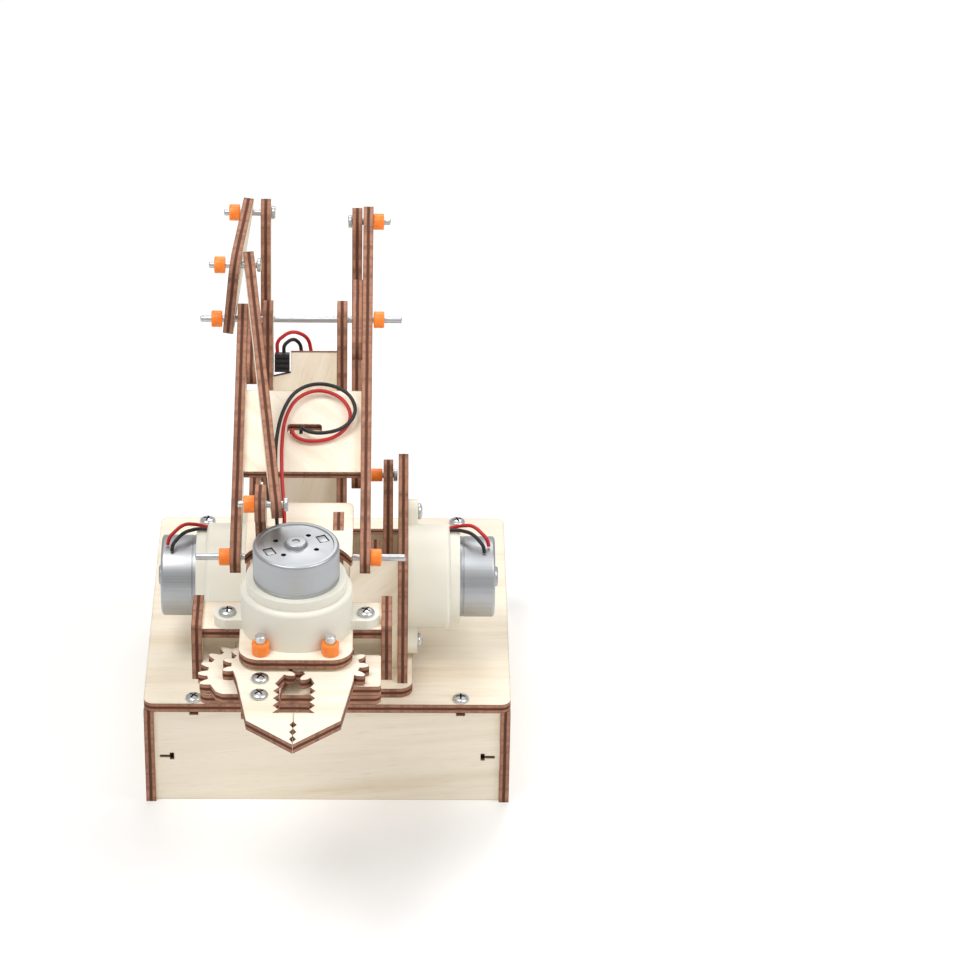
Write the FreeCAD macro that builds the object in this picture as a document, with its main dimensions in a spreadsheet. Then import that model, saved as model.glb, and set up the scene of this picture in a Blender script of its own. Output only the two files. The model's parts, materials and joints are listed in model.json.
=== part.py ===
import FreeCAD, Part
import math
import os
import Sketcher

# Desk-top plywood robot arm kit: a boxed base, a column that turns on it, two gearmotors that
# drive a parallel-link arm, and a level gripper with geared jaws.
# +X right, +Y back, +Z up; the origin is the middle of the base's underside.  Millimetres.

os.makedirs("parts", exist_ok=True)
doc = FreeCAD.newDocument("robot_arm")
sheet = doc.addObject("Spreadsheet::Sheet", "Sizes")

SIZES = {
    "ply": 3.0,              # thickness of every plywood plate
    "base_width": 110.0,
    "base_depth": 105.0,
    "base_height": 36.0,
    "panel_inset": 1.2,      # front and rear panels stand behind the side panels' edges
    "pin_radius": 1.0,       # bolts and rods of the linkage
    "pin_hole": 1.05,        # running hole for them
    "bolt_radius": 1.5,      # bolts of the jaws
    "bolt_hole": 1.55,
    "head_radius": 2.0,      # heads of the linkage bolts
    "head_height": 1.2,
    "sleeve_radius": 2.5,    # rubber sleeves that hold bolts and rods in place
    "sleeve_length": 3.2,
    "screw_radius": 1.2,
    "screw_head": 2.5,
    "screw_head_height": 1.5,
    "gearbox_radius": 15.8,
    "gearbox_length": 15.6,
    "neck_radius": 14.2,     # narrower collar of the gearbox that the can sits in
    "neck_length": 3.0,
    "ear_radius": 3.8,
    "ear_reach": 19.6,       # gearbox axis to an ear's screw
    "ear_height": 3.0,
    "can_radius": 12.2,
    "can_length": 10.6,
    "shaft_radius": 2.7,
    "shaft_offset": 5.4,     # the output shaft stands beside the gearbox axis
    "wall_gap": 45.0,        # between the column walls' middles
    "crank_length": 37.0,
    "link_radius": 4.6,      # round ends of the links
    "upper_span": 22.0,      # between the upper arm plates' middles
    "fore_span": 37.0,       # between the forearm plates' middles
    "rod_length": 60.0,
    "jaw_teeth": 13,
    "sector_teeth": 22,
    "pinion_teeth": 9,
    "gear_module": 1.5,
    "addendum": 1.15,
    "dedendum": 1.45,
    "wire_radius": 0.55,
}
for row, (alias, value) in enumerate(SIZES.items(), start=1):
    sheet.set(f"A{row}", alias)
    sheet.set(f"B{row}", str(value))
    sheet.setAlias(f"B{row}", alias)
doc.recompute()


def size(alias):
    """The value of a cell of the sheet, read back from the document."""
    return float(getattr(sheet, alias))


PLY = size("ply")
GAP = 0.3                                   # between plates that slide past each other
HEAD_GAP = 0.1                              # under the head of a bolt that something turns on
PRESSURE_ANGLE = math.radians(25)

# ---- places, as (y, z) of each pivot at rest ----
SHOULDER = (-25.0, 64.0)
ELBOW = (2.0, 137.4)
WRIST = (-75.4, 103.0)
LEVER = (-6.0, 21.5)                        # wrist to the level lever's bolt, and elbow to its twin
HEEL = (26.0, 22.0)                         # elbow to the level plate's rear bolt
ARM_X = -7.0                                # middle of the arm and the gripper
GRIP_X = -7.7
GRIP_MOTOR_Y = -92.3
TURN_Y = SHOULDER[0]                        # the column turns under the shoulder


def along(start, end):
    """Unit vector in the YZ plane from one pivot to another, and their distance."""
    length = math.dist(start, end)
    return ((end[0] - start[0]) / length, (end[1] - start[1]) / length), length


def step(point, direction, distance, side=0.0):
    """A point some way along a direction, and some way to its left."""
    return (point[0] + direction[0] * distance - direction[1] * side,
            point[1] + direction[1] * distance + direction[0] * side)


FORE_DIR, FORE_LENGTH = along(WRIST, ELBOW)
UPPER_DIR, UPPER_LENGTH = along(SHOULDER, ELBOW)
FORE_TAIL = step(ELBOW, FORE_DIR, size("crank_length"))
CRANK_TOP = step(SHOULDER, FORE_DIR, size("crank_length"))
LEVEL_FRONT = (ELBOW[0] + LEVER[0], ELBOW[1] + LEVER[1])
LEVEL_REAR = (ELBOW[0] + HEEL[0], ELBOW[1] + HEEL[1])
COLUMN_PIN = (SHOULDER[0] + HEEL[0], SHOULDER[1] + HEEL[1])
LEVER_TOP = (WRIST[0] + LEVER[0], WRIST[1] + LEVER[1])

# ---- layers across the arm, as x of each plate's middle ----
WALL_X = size("wall_gap") / 2
UPPER_LEFT_X = ARM_X - size("upper_span") / 2
UPPER_RIGHT_X = ARM_X + size("upper_span") / 2
FORE_LEFT_X = ARM_X - size("fore_span") / 2
FORE_RIGHT_X = ARM_X + size("fore_span") / 2
DRIVE_X = FORE_RIGHT_X - PLY - 0.4
CRANK_X = WALL_X - 4.6
BRACKET_X = CRANK_X - PLY - 0.8
REAR_LINK_X = -19.2
CHEEK_X = (-18.0, 3.8)

V = FreeCAD.Vector
FLAT = FreeCAD.Rotation()
SIDE = FreeCAD.Rotation(V(0, 1, 0), V(0, 0, 1), V(1, 0, 0), "XYZ")     # drawn in YZ, grows to +X
FRONT = FreeCAD.Rotation(V(1, 0, 0), V(0, 0, 1), V(0, -1, 0), "XYZ")   # drawn in XZ, grows to -Y
ALONG_X = FreeCAD.Rotation(V(0, 0, 1), V(1, 0, 0))
ALONG_MINUS_X = FreeCAD.Rotation(V(0, 0, 1), V(-1, 0, 0))
pieces = []


def keep(item, label):
    """Names a finished piece and lists it for export."""
    item.Label = label
    pieces.append(item)
    return item


# ---- outlines: lists of Part curves ----
def corner(before, point, after, radius):
    """The two tangent points and the middle of the arc that rounds a corner."""
    a, p, b = V(*before, 0), V(*point, 0), V(*after, 0)
    to_a = (a - p).normalize()
    to_b = (b - p).normalize()
    half = to_a.getAngle(to_b) / 2
    reach = radius / math.tan(half)
    bisector = (to_a + to_b).normalize()
    centre = p + bisector * (radius / math.sin(half))
    return p + to_a * reach, centre - bisector * radius, p + to_b * reach


def polygon(points, radius=0.0):
    """A closed outline through the points; a point's third value is its own corner radius."""
    edges = []
    knots = []
    count = len(points)
    for index, point in enumerate(points):
        own = point[2] if len(point) > 2 else radius
        before = points[index - 1][:2]
        after = points[(index + 1) % count][:2]
        if own > 0:
            knots.append(corner(before, point[:2], after, own))
        else:
            knots.append((V(*point[:2], 0),))
    for index, knot in enumerate(knots):
        if len(knot) == 3:
            edges.append(Part.Arc(*knot))
        following = knots[(index + 1) % count][0]
        if (following - knot[-1]).Length > 1e-6:
            edges.append(Part.LineSegment(knot[-1], following))
    return edges


def rectangle(low, high, radius=0.0):
    return polygon([low, (high[0], low[1]), high, (low[0], high[1])], radius)


def bar(start, end, radius):
    """A strip with round ends about two points."""
    direction, _ = along(start, end)
    one = [V(*step(start, direction, 0, side), 0) for side in (radius, -radius)]
    two = [V(*step(end, direction, 0, side), 0) for side in (radius, -radius)]
    tail = V(*step(start, direction, -radius), 0)
    nose = V(*step(end, direction, radius), 0)
    return [Part.Arc(one[0], tail, one[1]), Part.LineSegment(one[1], two[1]),
            Part.Arc(two[1], nose, two[0]), Part.LineSegment(two[0], one[0])]


def snap_slit(place, inward):
    """The thin T-shaped relief slit beside a snap-in tab, running inward (+1 or -1 along X)."""
    x, y = place
    run = [(0.0, -0.4), (3.0, -0.4), (3.0, -1.2), (4.2, -1.2), (4.2, 1.2), (3.0, 1.2), (3.0, 0.4), (0.0, 0.4)]
    return polygon([(x + inward * dx, y + dy) for dx, dy in run])


def involute_tooth(teeth, middle, backlash=0.22):
    """Points of one gear tooth about an angle, from its right root to its left root."""
    module = size("gear_module")
    pitch = module * teeth / 2
    base = pitch * math.cos(PRESSURE_ANGLE)
    tip = pitch + size("addendum")
    root = pitch - size("dedendum")
    half = math.pi / (2 * teeth) - backlash / (2 * pitch)
    half += math.tan(PRESSURE_ANGLE) - PRESSURE_ANGLE
    flank = []
    low = max(base, root)
    for part in range(5):
        radius = low + (tip - low) * part / 4
        roll = math.acos(min(1.0, base / radius))
        flank.append((radius, half - (math.tan(roll) - roll)))
    if base > root:
        flank.insert(0, (root, half))
    left = [(radius, middle + angle) for radius, angle in reversed(flank)]
    right = [(radius, middle - angle) for radius, angle in flank]
    return [(radius * math.cos(angle), radius * math.sin(angle)) for radius, angle in right + left]


def gear_points(teeth, first, last, phase=0.0):
    """Tooth outline points from one angle to another, counter-clockwise, in degrees."""
    points = []
    pitch = 360.0 / teeth
    index = math.ceil((first - phase) / pitch)
    while index * pitch + phase <= last:
        points += involute_tooth(teeth, math.radians(index * pitch + phase))
        index += 1
    return points


# ---- solids ----
def draw(body, name, edges, holes=()):
    """A sketch on the body's own XY plane; each hole's radius is bound to the sheet."""
    plane = next(f for f in body.Origin.OriginFeatures if f.Role == "XY_Plane")
    sketch = body.newObject("Sketcher::SketchObject", name)
    sketch.AttachmentSupport = [(plane, "")]
    sketch.MapMode = "FlatFace"
    for edge in edges:
        sketch.addGeometry(edge)
    for x, y, alias in holes:
        ring = sketch.addGeometry(Part.Circle(V(x, y, 0), V(0, 0, 1), size(alias)))
        rule = sketch.addConstraint(Sketcher.Constraint("Radius", ring, size(alias)))
        sketch.setExpression(f"Constraints[{rule}]", f"Sizes.{alias}")
    return sketch


def plate(label, outline, holes=(), cuts=(), rotation=FLAT, place=(0, 0, 0), thickness="ply"):
    """A flat sheet: the outline padded, with round holes and other cut-outs in the same sketch."""
    body = doc.addObject("PartDesign::Body", label + "_body")
    edges = list(outline)
    for cut in cuts:
        edges += cut
    sketch = draw(body, label + "_sketch", edges, holes)
    pad = body.newObject("PartDesign::Pad", label + "_pad")
    pad.Profile = sketch
    pad.setExpression("Length", f"Sizes.{thickness}")
    body.Tip = pad
    body.Placement = FreeCAD.Placement(V(*place), rotation)
    return body


def side_plate(label, outline, middle_x, holes=(), cuts=()):
    """A plate drawn in the YZ plane about its middle x."""
    body = plate(label, outline, holes, cuts, SIDE, (middle_x - PLY / 2, 0, 0))
    return keep(body, label)


def cylinder(name, radius, length, place, rotation=FLAT, length_alias=None):
    """A round solid: its radius, and its length if it has a cell, come from the sheet."""
    item = doc.addObject("Part::Cylinder", name)
    item.setExpression("Radius", f"Sizes.{radius}")
    if length_alias:
        item.setExpression("Height", f"Sizes.{length_alias}")
    else:
        item.Height = length
    item.Placement = FreeCAD.Placement(V(*place), rotation)
    return item


def group(label, items):
    """Several separate solids in one piece."""
    compound = doc.addObject("Part::Compound", label + "_group")
    compound.Links = items
    return keep(compound, label)


def fuse(name, items):
    result = doc.addObject("Part::MultiFuse", name)
    result.Shapes = items
    return result


def cut(name, base, tool):
    result = doc.addObject("Part::Cut", name)
    result.Base = base
    result.Tool = tool
    return result


def sleeve(name, pivot, x):
    """A rubber sleeve pushed on a linkage pin, starting at x."""
    ring = cylinder(name + "_ring", "sleeve_radius", 0, (x, *pivot), ALONG_X, "sleeve_length")
    bore = cylinder(name + "_bore", "pin_radius", size("sleeve_length"), (x, *pivot), ALONG_X)
    return cut(name, ring, bore)


def pin(name, pivot, start, end, head=None):
    """A bolt across the arm from one x to another; head tells the end that carries its head."""
    rod = cylinder(name + "_rod", "pin_radius", end - start, (start, *pivot), ALONG_X)
    if head is None:
        return rod
    x = start - size("head_height") if head == "left" else end
    cap = cylinder(name + "_head", "head_radius", 0, (x, *pivot), ALONG_X, "head_height")
    return fuse(name, [rod, cap])


def screw(name, place, rotation, depth):
    """A pan-head screw: place is where the head meets the plate, and the head grows along +Z."""
    head = cylinder(name + "_head", "screw_head", 0, place, rotation, "screw_head_height")
    down = rotation.multVec(V(0, 0, -depth))
    shank = cylinder(name + "_shank", "screw_radius", depth, V(*place) + down, rotation)
    return fuse(name, [head, shank])


def route(points):
    """Straight runs joined by arcs, each as large as its two runs allow."""
    edges = []
    reached = V(*points[0])
    for before, point, after in zip(points, points[1:], points[2:]):
        a, p, b = V(*before), V(*point), V(*after)
        reach = 0.45 * min((p - a).Length, (b - p).Length)
        into = (p - a).normalize()
        out = (b - p).normalize()
        half = into.getAngle(out) / 2
        bisector = (out - into).normalize()
        depth = reach / math.tan(half) * (1 / math.cos(half) - 1)
        edges.append(Part.LineSegment(reached, p - into * reach).toShape())
        edges.append(Part.Arc(p - into * reach, p + bisector * depth, p + out * reach).toShape())
        reached = p + out * reach
    edges.append(Part.LineSegment(reached, V(*points[-1])).toShape())
    return Part.Wire(edges)


def lead(name, points):
    """A soft wire: a round section swept along its route."""
    path = doc.addObject("Part::Feature", name + "_path")
    path.Shape = route(points)
    ring = doc.addObject("Part::Circle", name + "_ring")
    ring.setExpression("Radius", "Sizes.wire_radius")
    first = V(*points[1]) - V(*points[0])
    ring.Placement = FreeCAD.Placement(V(*points[0]), FreeCAD.Rotation(V(0, 0, 1), first))
    sweep = doc.addObject("Part::Sweep", name)
    sweep.Sections = [ring]
    sweep.Spine = (path, [f"Edge{n + 1}" for n in range(len(path.Shape.Edges))])
    sweep.Solid = True
    sweep.Frenet = False
    return sweep


def gearmotor(label, face, rotation, offset_turn):
    """A round gearbox with two ears and its motor can; face is the shaft's place on the mounting
    face, the motor grows along the rotation's +Z, and the shaft is offset along local -Y."""
    turn = rotation.multiply(FreeCAD.Rotation(V(0, 0, 1), offset_turn))
    centre = V(*face) + turn.multVec(V(0, size("shaft_offset"), 0))
    drum = cylinder(label + "_drum", "gearbox_radius", 0, centre, turn)
    drum.setExpression("Height", "Sizes.gearbox_length - Sizes.neck_length")
    neck = cylinder(label + "_neck", "neck_radius", 0, centre, turn, "gearbox_length")
    drum_soft = doc.addObject("Part::Fillet", label + "_drum_soft")
    doc.recompute()
    drum_soft.Base = drum
    drum_soft.Edges = [(top_rim(drum.Shape, turn, centre), 1.2, 1.2)]
    parts = [drum_soft, neck]
    holes = [cylinder(label + "_seat", "shaft_radius", 2.0, face, turn)]
    for side in (-1, 1):
        reach = turn.multVec(V(side * size("ear_reach"), 0, 0))
        ear = cylinder(f"{label}_ear{side}", "ear_radius", 0, centre + reach, turn, "ear_height")
        web = doc.addObject("Part::Box", f"{label}_web{side}")
        web.setExpression("Length", "Sizes.ear_reach")
        web.setExpression("Width", "Sizes.ear_radius * 2")
        web.setExpression("Height", "Sizes.ear_height")
        start = V(0 if side > 0 else -size("ear_reach"), -size("ear_radius"), 0)
        web.Placement = FreeCAD.Placement(centre + turn.multVec(start), turn)
        parts += [ear, web]
        holes.append(cylinder(f"{label}_eye{side}", "screw_radius", 4.0,
                              centre + reach + turn.multVec(V(0, 0, -0.5)), turn))
    shell = fuse(label + "_shell", parts)
    gearbox = cut(label + "_cut", shell, fuse(label + "_eyes", holes))
    top = centre + turn.multVec(V(0, 0, size("gearbox_length")))
    can = cylinder(label + "_tin", "can_radius", 0, top, turn, "can_length")
    ears = [centre + turn.multVec(V(side * size("ear_reach"), 0, size("ear_height"))) for side in (-1, 1)]
    return gearbox, can, ears


def top_rim(shape, turn, centre):
    """Number of the drum's circular edge that is furthest from its mounting face."""
    axis = turn.multVec(V(0, 0, 1))
    heights = [(edge.CenterOfMass - centre).dot(axis) for edge in shape.Edges]
    return heights.index(max(heights)) + 1


# =========================== base ===========================
HALF_W = size("base_width") / 2
HALF_D = size("base_depth") / 2
TOP = size("base_height")
PANEL_TOP = TOP - PLY
SCREW_X = 40.0
END_Y = HALF_D - size("panel_inset") - PLY / 2
CORNER_SCREWS = [(x, y) for x in (-SCREW_X, SCREW_X) for y in (-END_Y, END_Y)]
NOTCH_HALF = 1.3                           # notch in an end panel that takes a corner screw's tip
NOTCH_DEPTH = 1.8
TAB_Z = (11.0, 21.0)

keep(plate("top", rectangle((-HALF_W, -HALF_D), (HALF_W, HALF_D), 3.0),
           [(x, y, "screw_radius") for x, y in CORNER_SCREWS],
           [[Part.Circle(V(0, TURN_Y, 0), V(0, 0, 1), size("shaft_radius") + 0.4)]],
           place=(0, 0, PANEL_TOP)), "base_top_plate")

# The side panels run the full depth; front, rear and floor reach between them with tabs.
side_panels = []
for side in (-1, 1):
    slots = [rectangle((y - 1.55, TAB_Z[0] - 0.05), (y + 1.55, TAB_Z[1] + 0.05))
             for y in (-(HALF_D - size("panel_inset") - 1.5), HALF_D - size("panel_inset") - 1.5)]
    x = side * (HALF_W - PLY / 2) - PLY / 2
    side_panels.append(plate(f"side_panel{side}", rectangle((-HALF_D, 0), (HALF_D, PANEL_TOP)), (), slots,
                             SIDE, (x, 0, 0)))
group("base_side_panels", side_panels)

INNER_W = HALF_W - PLY
tabbed = [(-INNER_W, 0), (INNER_W, 0), (INNER_W, TAB_Z[0]), (HALF_W, TAB_Z[0]), (HALF_W, TAB_Z[1]),
          (INNER_W, TAB_Z[1]), (INNER_W, PANEL_TOP)]
for side in (1, -1):
    tabbed += [(side * SCREW_X + reach, PANEL_TOP - drop)
               for reach, drop in ((NOTCH_HALF, 0), (NOTCH_HALF, NOTCH_DEPTH),
                                   (-NOTCH_HALF, NOTCH_DEPTH), (-NOTCH_HALF, 0))]
tabbed += [(-INNER_W, PANEL_TOP), (-INNER_W, TAB_Z[1]),
          (-HALF_W, TAB_Z[1]), (-HALF_W, TAB_Z[0]), (-INNER_W, TAB_Z[0])]
end_panels = []
for label, back_face in (("front_panel", PLY / 2 - END_Y), ("rear_panel", PLY / 2 + END_Y)):
    slits = [snap_slit((side * (INNER_W - 1.5), 16.0), -side) for side in (-1, 1)]
    end_panels.append(plate(label, polygon(tabbed), (), slits, FRONT, (0, back_face, 0)))
group("base_end_panels", end_panels)

keep(plate("floor", rectangle((-INNER_W, -HALF_D + size("panel_inset") + PLY),
                              (INNER_W, HALF_D - size("panel_inset") - PLY)),
           place=(0, 0, 0)), "base_floor_plate")

# The base motor hangs under the top plate with its shaft up through it.
DOWN = FreeCAD.Rotation(V(0, 0, 1), V(0, 0, -1))
base_box, base_can, _ = gearmotor("base", (0, TURN_Y, PANEL_TOP), DOWN, 180)
keep(base_box, "base_gearbox")
keep(base_can, "base_motor_can")
group("base_screws",
      [screw(f"corner_screw{n}", (x, y, TOP), FLAT, 4.6) for n, (x, y) in enumerate(CORNER_SCREWS)])

battery = doc.addObject("Part::Box", "battery_tray")
battery.Length, battery.Width, battery.Height = 58.0, 32.0, 16.0
battery.Placement = FreeCAD.Placement(V(-29.0, 12.0, PLY), FLAT)
keep(battery, "battery_holder")
board = doc.addObject("Part::Box", "board")
board.Length, board.Width, board.Height = 20.0, 34.0, 1.6
board.Placement = FreeCAD.Placement(V(-48.0, -30.0, PLY + 2.0), FLAT)
chip = doc.addObject("Part::Box", "chip")
chip.Length, chip.Width, chip.Height = 9.0, 11.0, 2.0
chip.Placement = FreeCAD.Placement(V(-42.0, -20.0, PLY + 3.6), FLAT)
keep(fuse("receiver", [board, chip]), "receiver_board")

# =========================== column ===========================
DECK_Z = TOP + GAP
DECK_TOP = DECK_Z + PLY
COLUMN_FRONT = -46.0
COLUMN_BACK = 8.0

DECK_RIM = 3.0
deck_low = (-WALL_X - DECK_RIM, COLUMN_FRONT - DECK_RIM)
deck_high = (WALL_X + DECK_RIM, COLUMN_BACK + DECK_RIM)
keep(plate("deck", rectangle(deck_low, deck_high, 4.0), (),
           [[Part.Circle(V(0, TURN_Y, 0), V(0, 0, 1), size("shaft_radius"))]],
           place=(0, 0, DECK_Z)), "turntable_plate")
keep(cylinder("base_output", "shaft_radius", DECK_TOP - PANEL_TOP, (0, TURN_Y, PANEL_TOP)),
     "base_motor_shaft")

# The deck is pressed on the base motor's shaft.  Each wall is wide at the foot and narrows to a
# round head at the height of the fixed link pin.
head = (COLUMN_PIN[0], COLUMN_PIN[1])
wall_outline = polygon([(COLUMN_FRONT, DECK_TOP), (COLUMN_BACK, DECK_TOP),
                        (head[0] + 7.0, head[1] - 16.0, 6.0), (head[0] + 6.5, head[1] + 3.2, 4.0),
                        (head[0] - 6.5, head[1] + 3.2, 4.0), (SHOULDER[0] + 4.0, SHOULDER[1] + 15.5, 8.0),
                        (COLUMN_FRONT, SHOULDER[1] + 12.0, 6.0)])
shaft_ring = Part.Circle(V(*SHOULDER, 0), V(0, 0, 1), size("shaft_radius") + 0.4)
INNER = WALL_X - PLY / 2
FRONT_PANEL_Y = -38.0
BACK_PANEL_Y = 5.0
cross_panels = []
for label, face_y, top_z in (("column_front", FRONT_PANEL_Y, 78.0), ("column_back", BACK_PANEL_Y, 60.0)):
    slits = [snap_slit((side * INNER, z), -side) for side in (-1, 1) for z in (48.0, 56.0)]
    cross_panels.append(plate(label, rectangle((-INNER, DECK_TOP), (INNER, top_z)), (), slits, FRONT,
                              (0, face_y + PLY, 0)))
group("column_cross_panels", cross_panels)

side_plate("shoulder_bracket", rectangle((FRONT_PANEL_Y + PLY, SHOULDER[1] - 12.0),
                                         (SHOULDER[0] + 8.0, SHOULDER[1] + 8.0)),
           BRACKET_X, [(*SHOULDER, "pin_radius")])

MOTOR_TURN = 32.0                          # degrees; it puts each motor behind and below its shaft
column_screws = []
column_boxes = []
column_cans = []
walls = []
for side, label, rotation in ((-1, "left_shoulder", ALONG_MINUS_X), (1, "right_shoulder", ALONG_X)):
    face = (side * (WALL_X + PLY / 2), *SHOULDER)
    gearbox, can, ears = gearmotor(label, face, rotation, -MOTOR_TURN * side)
    column_boxes.append(gearbox)
    column_cans.append(can)
    column_screws += [screw(f"{label}_screw{n}", ear, rotation, 6.0) for n, ear in enumerate(ears)]
    wall_holes = [(*COLUMN_PIN, "pin_radius")] + [(ear.y, ear.z, "screw_radius") for ear in ears]
    walls.append(plate(f"wall{side}", wall_outline, wall_holes, [[shaft_ring]], SIDE,
                       (side * WALL_X - PLY / 2, 0, 0)))
group("column_walls", walls)
group("shoulder_gearboxes", column_boxes)
group("shoulder_motor_cans", column_cans)
group("shoulder_screws", column_screws)

# Each shoulder motor's two leads rise from its can and go into the shoulder of its gearbox.
BLACK_LEAD = [(46.9, -25.5, 72.9), (46.6, -25.0, 75.0), (43.5, -21.5, 77.1), (39.6, -18.0, 76.1),
              (36.6, -17.8, 75.95)]
RED_LEAD = [(48.3, -23.2, 73.7), (47.6, -22.6, 76.2), (43.6, -18.6, 78.3), (39.6, -15.7, 76.2),
            (36.6, -15.6, 75.3)]
group("shoulder_motor_leads",
      [lead(f"{colour}_lead{side}", [(side * x, y, z) for x, y, z in points])
       for colour, points in (("black", BLACK_LEAD), ("red", RED_LEAD)) for side in (-1, 1)])



# The fixed end of the level linkage is a pin through the left wall, with a sleeve outside it.
# The upper arm's right plate turns on a short pin in the bracket.
link_pin = pin("link_pin", COLUMN_PIN, -WALL_X - PLY / 2 - size("sleeve_length") - 2.0,
               REAR_LINK_X + PLY / 2 + HEAD_GAP, "right")
arm_pin = pin("arm_pin", SHOULDER, UPPER_RIGHT_X - PLY / 2 - HEAD_GAP, BRACKET_X + PLY / 2, "left")
group("column_pins", [link_pin, arm_pin])
group("column_pin_sleeve", [sleeve("column_sleeve", COLUMN_PIN, -WALL_X - PLY / 2 - size("sleeve_length"))])

# =========================== upper arm ===========================
drive_hole = Part.Circle(V(*SHOULDER, 0), V(0, 0, 1), size("shaft_radius"))
UPPER_R = 5.6
arm_left = plate("arm_left", bar(SHOULDER, ELBOW, UPPER_R), [(*ELBOW, "pin_radius")], [[drive_hole]], SIDE,
                 (UPPER_LEFT_X - PLY / 2, 0, 0))
arm_right_holes = [(*ELBOW, "pin_radius"), (*SHOULDER, "pin_hole")]
arm_right = plate("arm_right", bar(SHOULDER, ELBOW, UPPER_R), arm_right_holes, (), SIDE,
                  (UPPER_RIGHT_X - PLY / 2, 0, 0))
group("upper_arm_plates", [arm_left, arm_right])
keep(cylinder("left_output", "shaft_radius", UPPER_LEFT_X - PLY / 2 + WALL_X + PLY / 2 + PLY,
              (-WALL_X - PLY / 2, *SHOULDER), ALONG_X), "left_motor_shaft")

UPPER_PANEL = (12.0, 68.5)
PANEL_HALF = size("upper_span") / 2 - PLY / 2
upper_middle = (UPPER_LEFT_X + UPPER_RIGHT_X) / 2
UPPER_TILT = FreeCAD.Rotation(V(1, 0, 0), V(0, *UPPER_DIR), V(0, -UPPER_DIR[1], UPPER_DIR[0]), "XYZ")
notch_x = -PANEL_HALF + 5.2
stepped = polygon([(-PANEL_HALF, UPPER_PANEL[0]), (PANEL_HALF, UPPER_PANEL[0]),
                   (PANEL_HALF, UPPER_PANEL[1]), (notch_x, UPPER_PANEL[1]),
                   (notch_x, UPPER_PANEL[1] - 6.2), (-PANEL_HALF, UPPER_PANEL[1] - 7.4)])
start = step(SHOULDER, UPPER_DIR, 0, -PLY / 2)
slits = [snap_slit((PANEL_HALF, place), -1) for place in (24.0, 60.0)]
keep(plate("upper_panel", stepped, (), slits, UPPER_TILT, (upper_middle, *start)), "upper_arm_panel")

# The gripper motor's plug sits in the notch, and its leads go over the panel's edge to its back.
PLUG_WIDTH = 4.4
PLUG_START = 62.5                          # from the shoulder, along the panel
PLUG_LENGTH = 5.4
PLUG_HALF = 1.6                            # half the depth of its core, and of its grip ribs
RIB_HALF = 2.2
RIB_COUNT = 4
RIB_WIDTH = 0.8
RIB_PITCH = 1.5


def on_upper(x, place, side):
    """A point across, along and in front of the upper arm's panel."""
    return (x, *step(SHOULDER, UPPER_DIR, place, side))


def plug_block(label, place, length, half_depth):
    block = doc.addObject("Part::Box", label)
    block.Length, block.Width, block.Height = PLUG_WIDTH, length, 2 * half_depth
    corner_x = upper_middle - PANEL_HALF + 0.4
    block.Placement = FreeCAD.Placement(V(*on_upper(corner_x, place, -half_depth)), UPPER_TILT)
    return block


ribs = [plug_block(f"plug_rib{n}", PLUG_START + 0.1 + n * RIB_PITCH, RIB_WIDTH, RIB_HALF)
        for n in range(RIB_COUNT)]
keep(fuse("plug", [plug_block("plug_core", PLUG_START, PLUG_LENGTH, PLUG_HALF)] + ribs), "lead_plug")
RED_UPPER = [(-15.3, 68.1, 0.0), (-15.5, 71.6, 0.2), (-11.2, 74.8, -0.6), (-6.2, 72.6, -2.6),
             (-5.2, 67.0, -4.6), (-5.2, 62.6, -4.2), (-5.2, 62.2, -1.5)]
BLACK_UPPER = [(-13.4, 68.1, 0.0), (-13.4, 70.4, 0.0), (-10.8, 72.4, -0.8), (-8.6, 70.6, -2.6),
               (-8.0, 66.0, -4.4), (-8.0, 62.0, -4.2), (-8.0, 61.6, -1.5)]
group("upper_arm_leads", [lead(f"upper_lead{n}", [on_upper(*point) for point in points])
                          for n, points in enumerate((RED_UPPER, BLACK_UPPER))])

ROD_START = ARM_X - size("rod_length") / 2 - 1.2
elbow_rod = cylinder("elbow_bar", "pin_radius", 0, (ROD_START, *ELBOW), ALONG_X, "rod_length")
keep(elbow_rod, "elbow_rod")
LEVEL_FACE_X = -31.7                       # left face of the level plate at the elbow
ELBOW_LEFT_SLEEVE = LEVEL_FACE_X - size("sleeve_length")
ELBOW_RIGHT_SLEEVE = FORE_RIGHT_X + PLY / 2 + GAP
group("elbow_sleeves", [sleeve("elbow_left", ELBOW, ELBOW_LEFT_SLEEVE),
                        sleeve("elbow_right", ELBOW, ELBOW_RIGHT_SLEEVE)])

# =========================== level plate and rear link ===========================
# The level plate leans on its pins, so it is a plate tilted about the elbow pin, with its three
# holes bored straight across the arm.
LEVEL_X = {"elbow": -29.4, "front": -27.2, "rear": -24.9}


def bored(name, base, bores):
    """Cuts straight holes along X at (y, z) places through a leaning plate."""
    tools = [cylinder(f"{name}_bore{n}", "pin_hole", 60.0, (-50.0, *place), ALONG_X)
             for n, place in enumerate(bores)]
    return cut(name, base, fuse(name + "_bores", tools))


lean_up = V((LEVEL_X["front"] + LEVEL_X["rear"]) / 2 - LEVEL_X["elbow"], 10.0, 22.0)
edge_y = V(LEVEL_X["rear"] - LEVEL_X["front"], LEVEL_REAR[0] - LEVEL_FRONT[0], LEVEL_REAR[1] - LEVEL_FRONT[1])
across = edge_y.cross(lean_up).normalize()
in_plane = edge_y.normalize()
LEAN = FreeCAD.Rotation(in_plane, across.cross(in_plane), across, "XYZ")
elbow_point = V(LEVEL_X["elbow"], *ELBOW)


def in_lean(x, pivot):
    """A pivot's place in the leaning plate's own plane."""
    return tuple(LEAN.inverted().multVec(V(x, *pivot) - elbow_point))[:2]


level_front = in_lean(LEVEL_X["front"], LEVEL_FRONT)
level_rear = in_lean(LEVEL_X["rear"], LEVEL_REAR)


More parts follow.
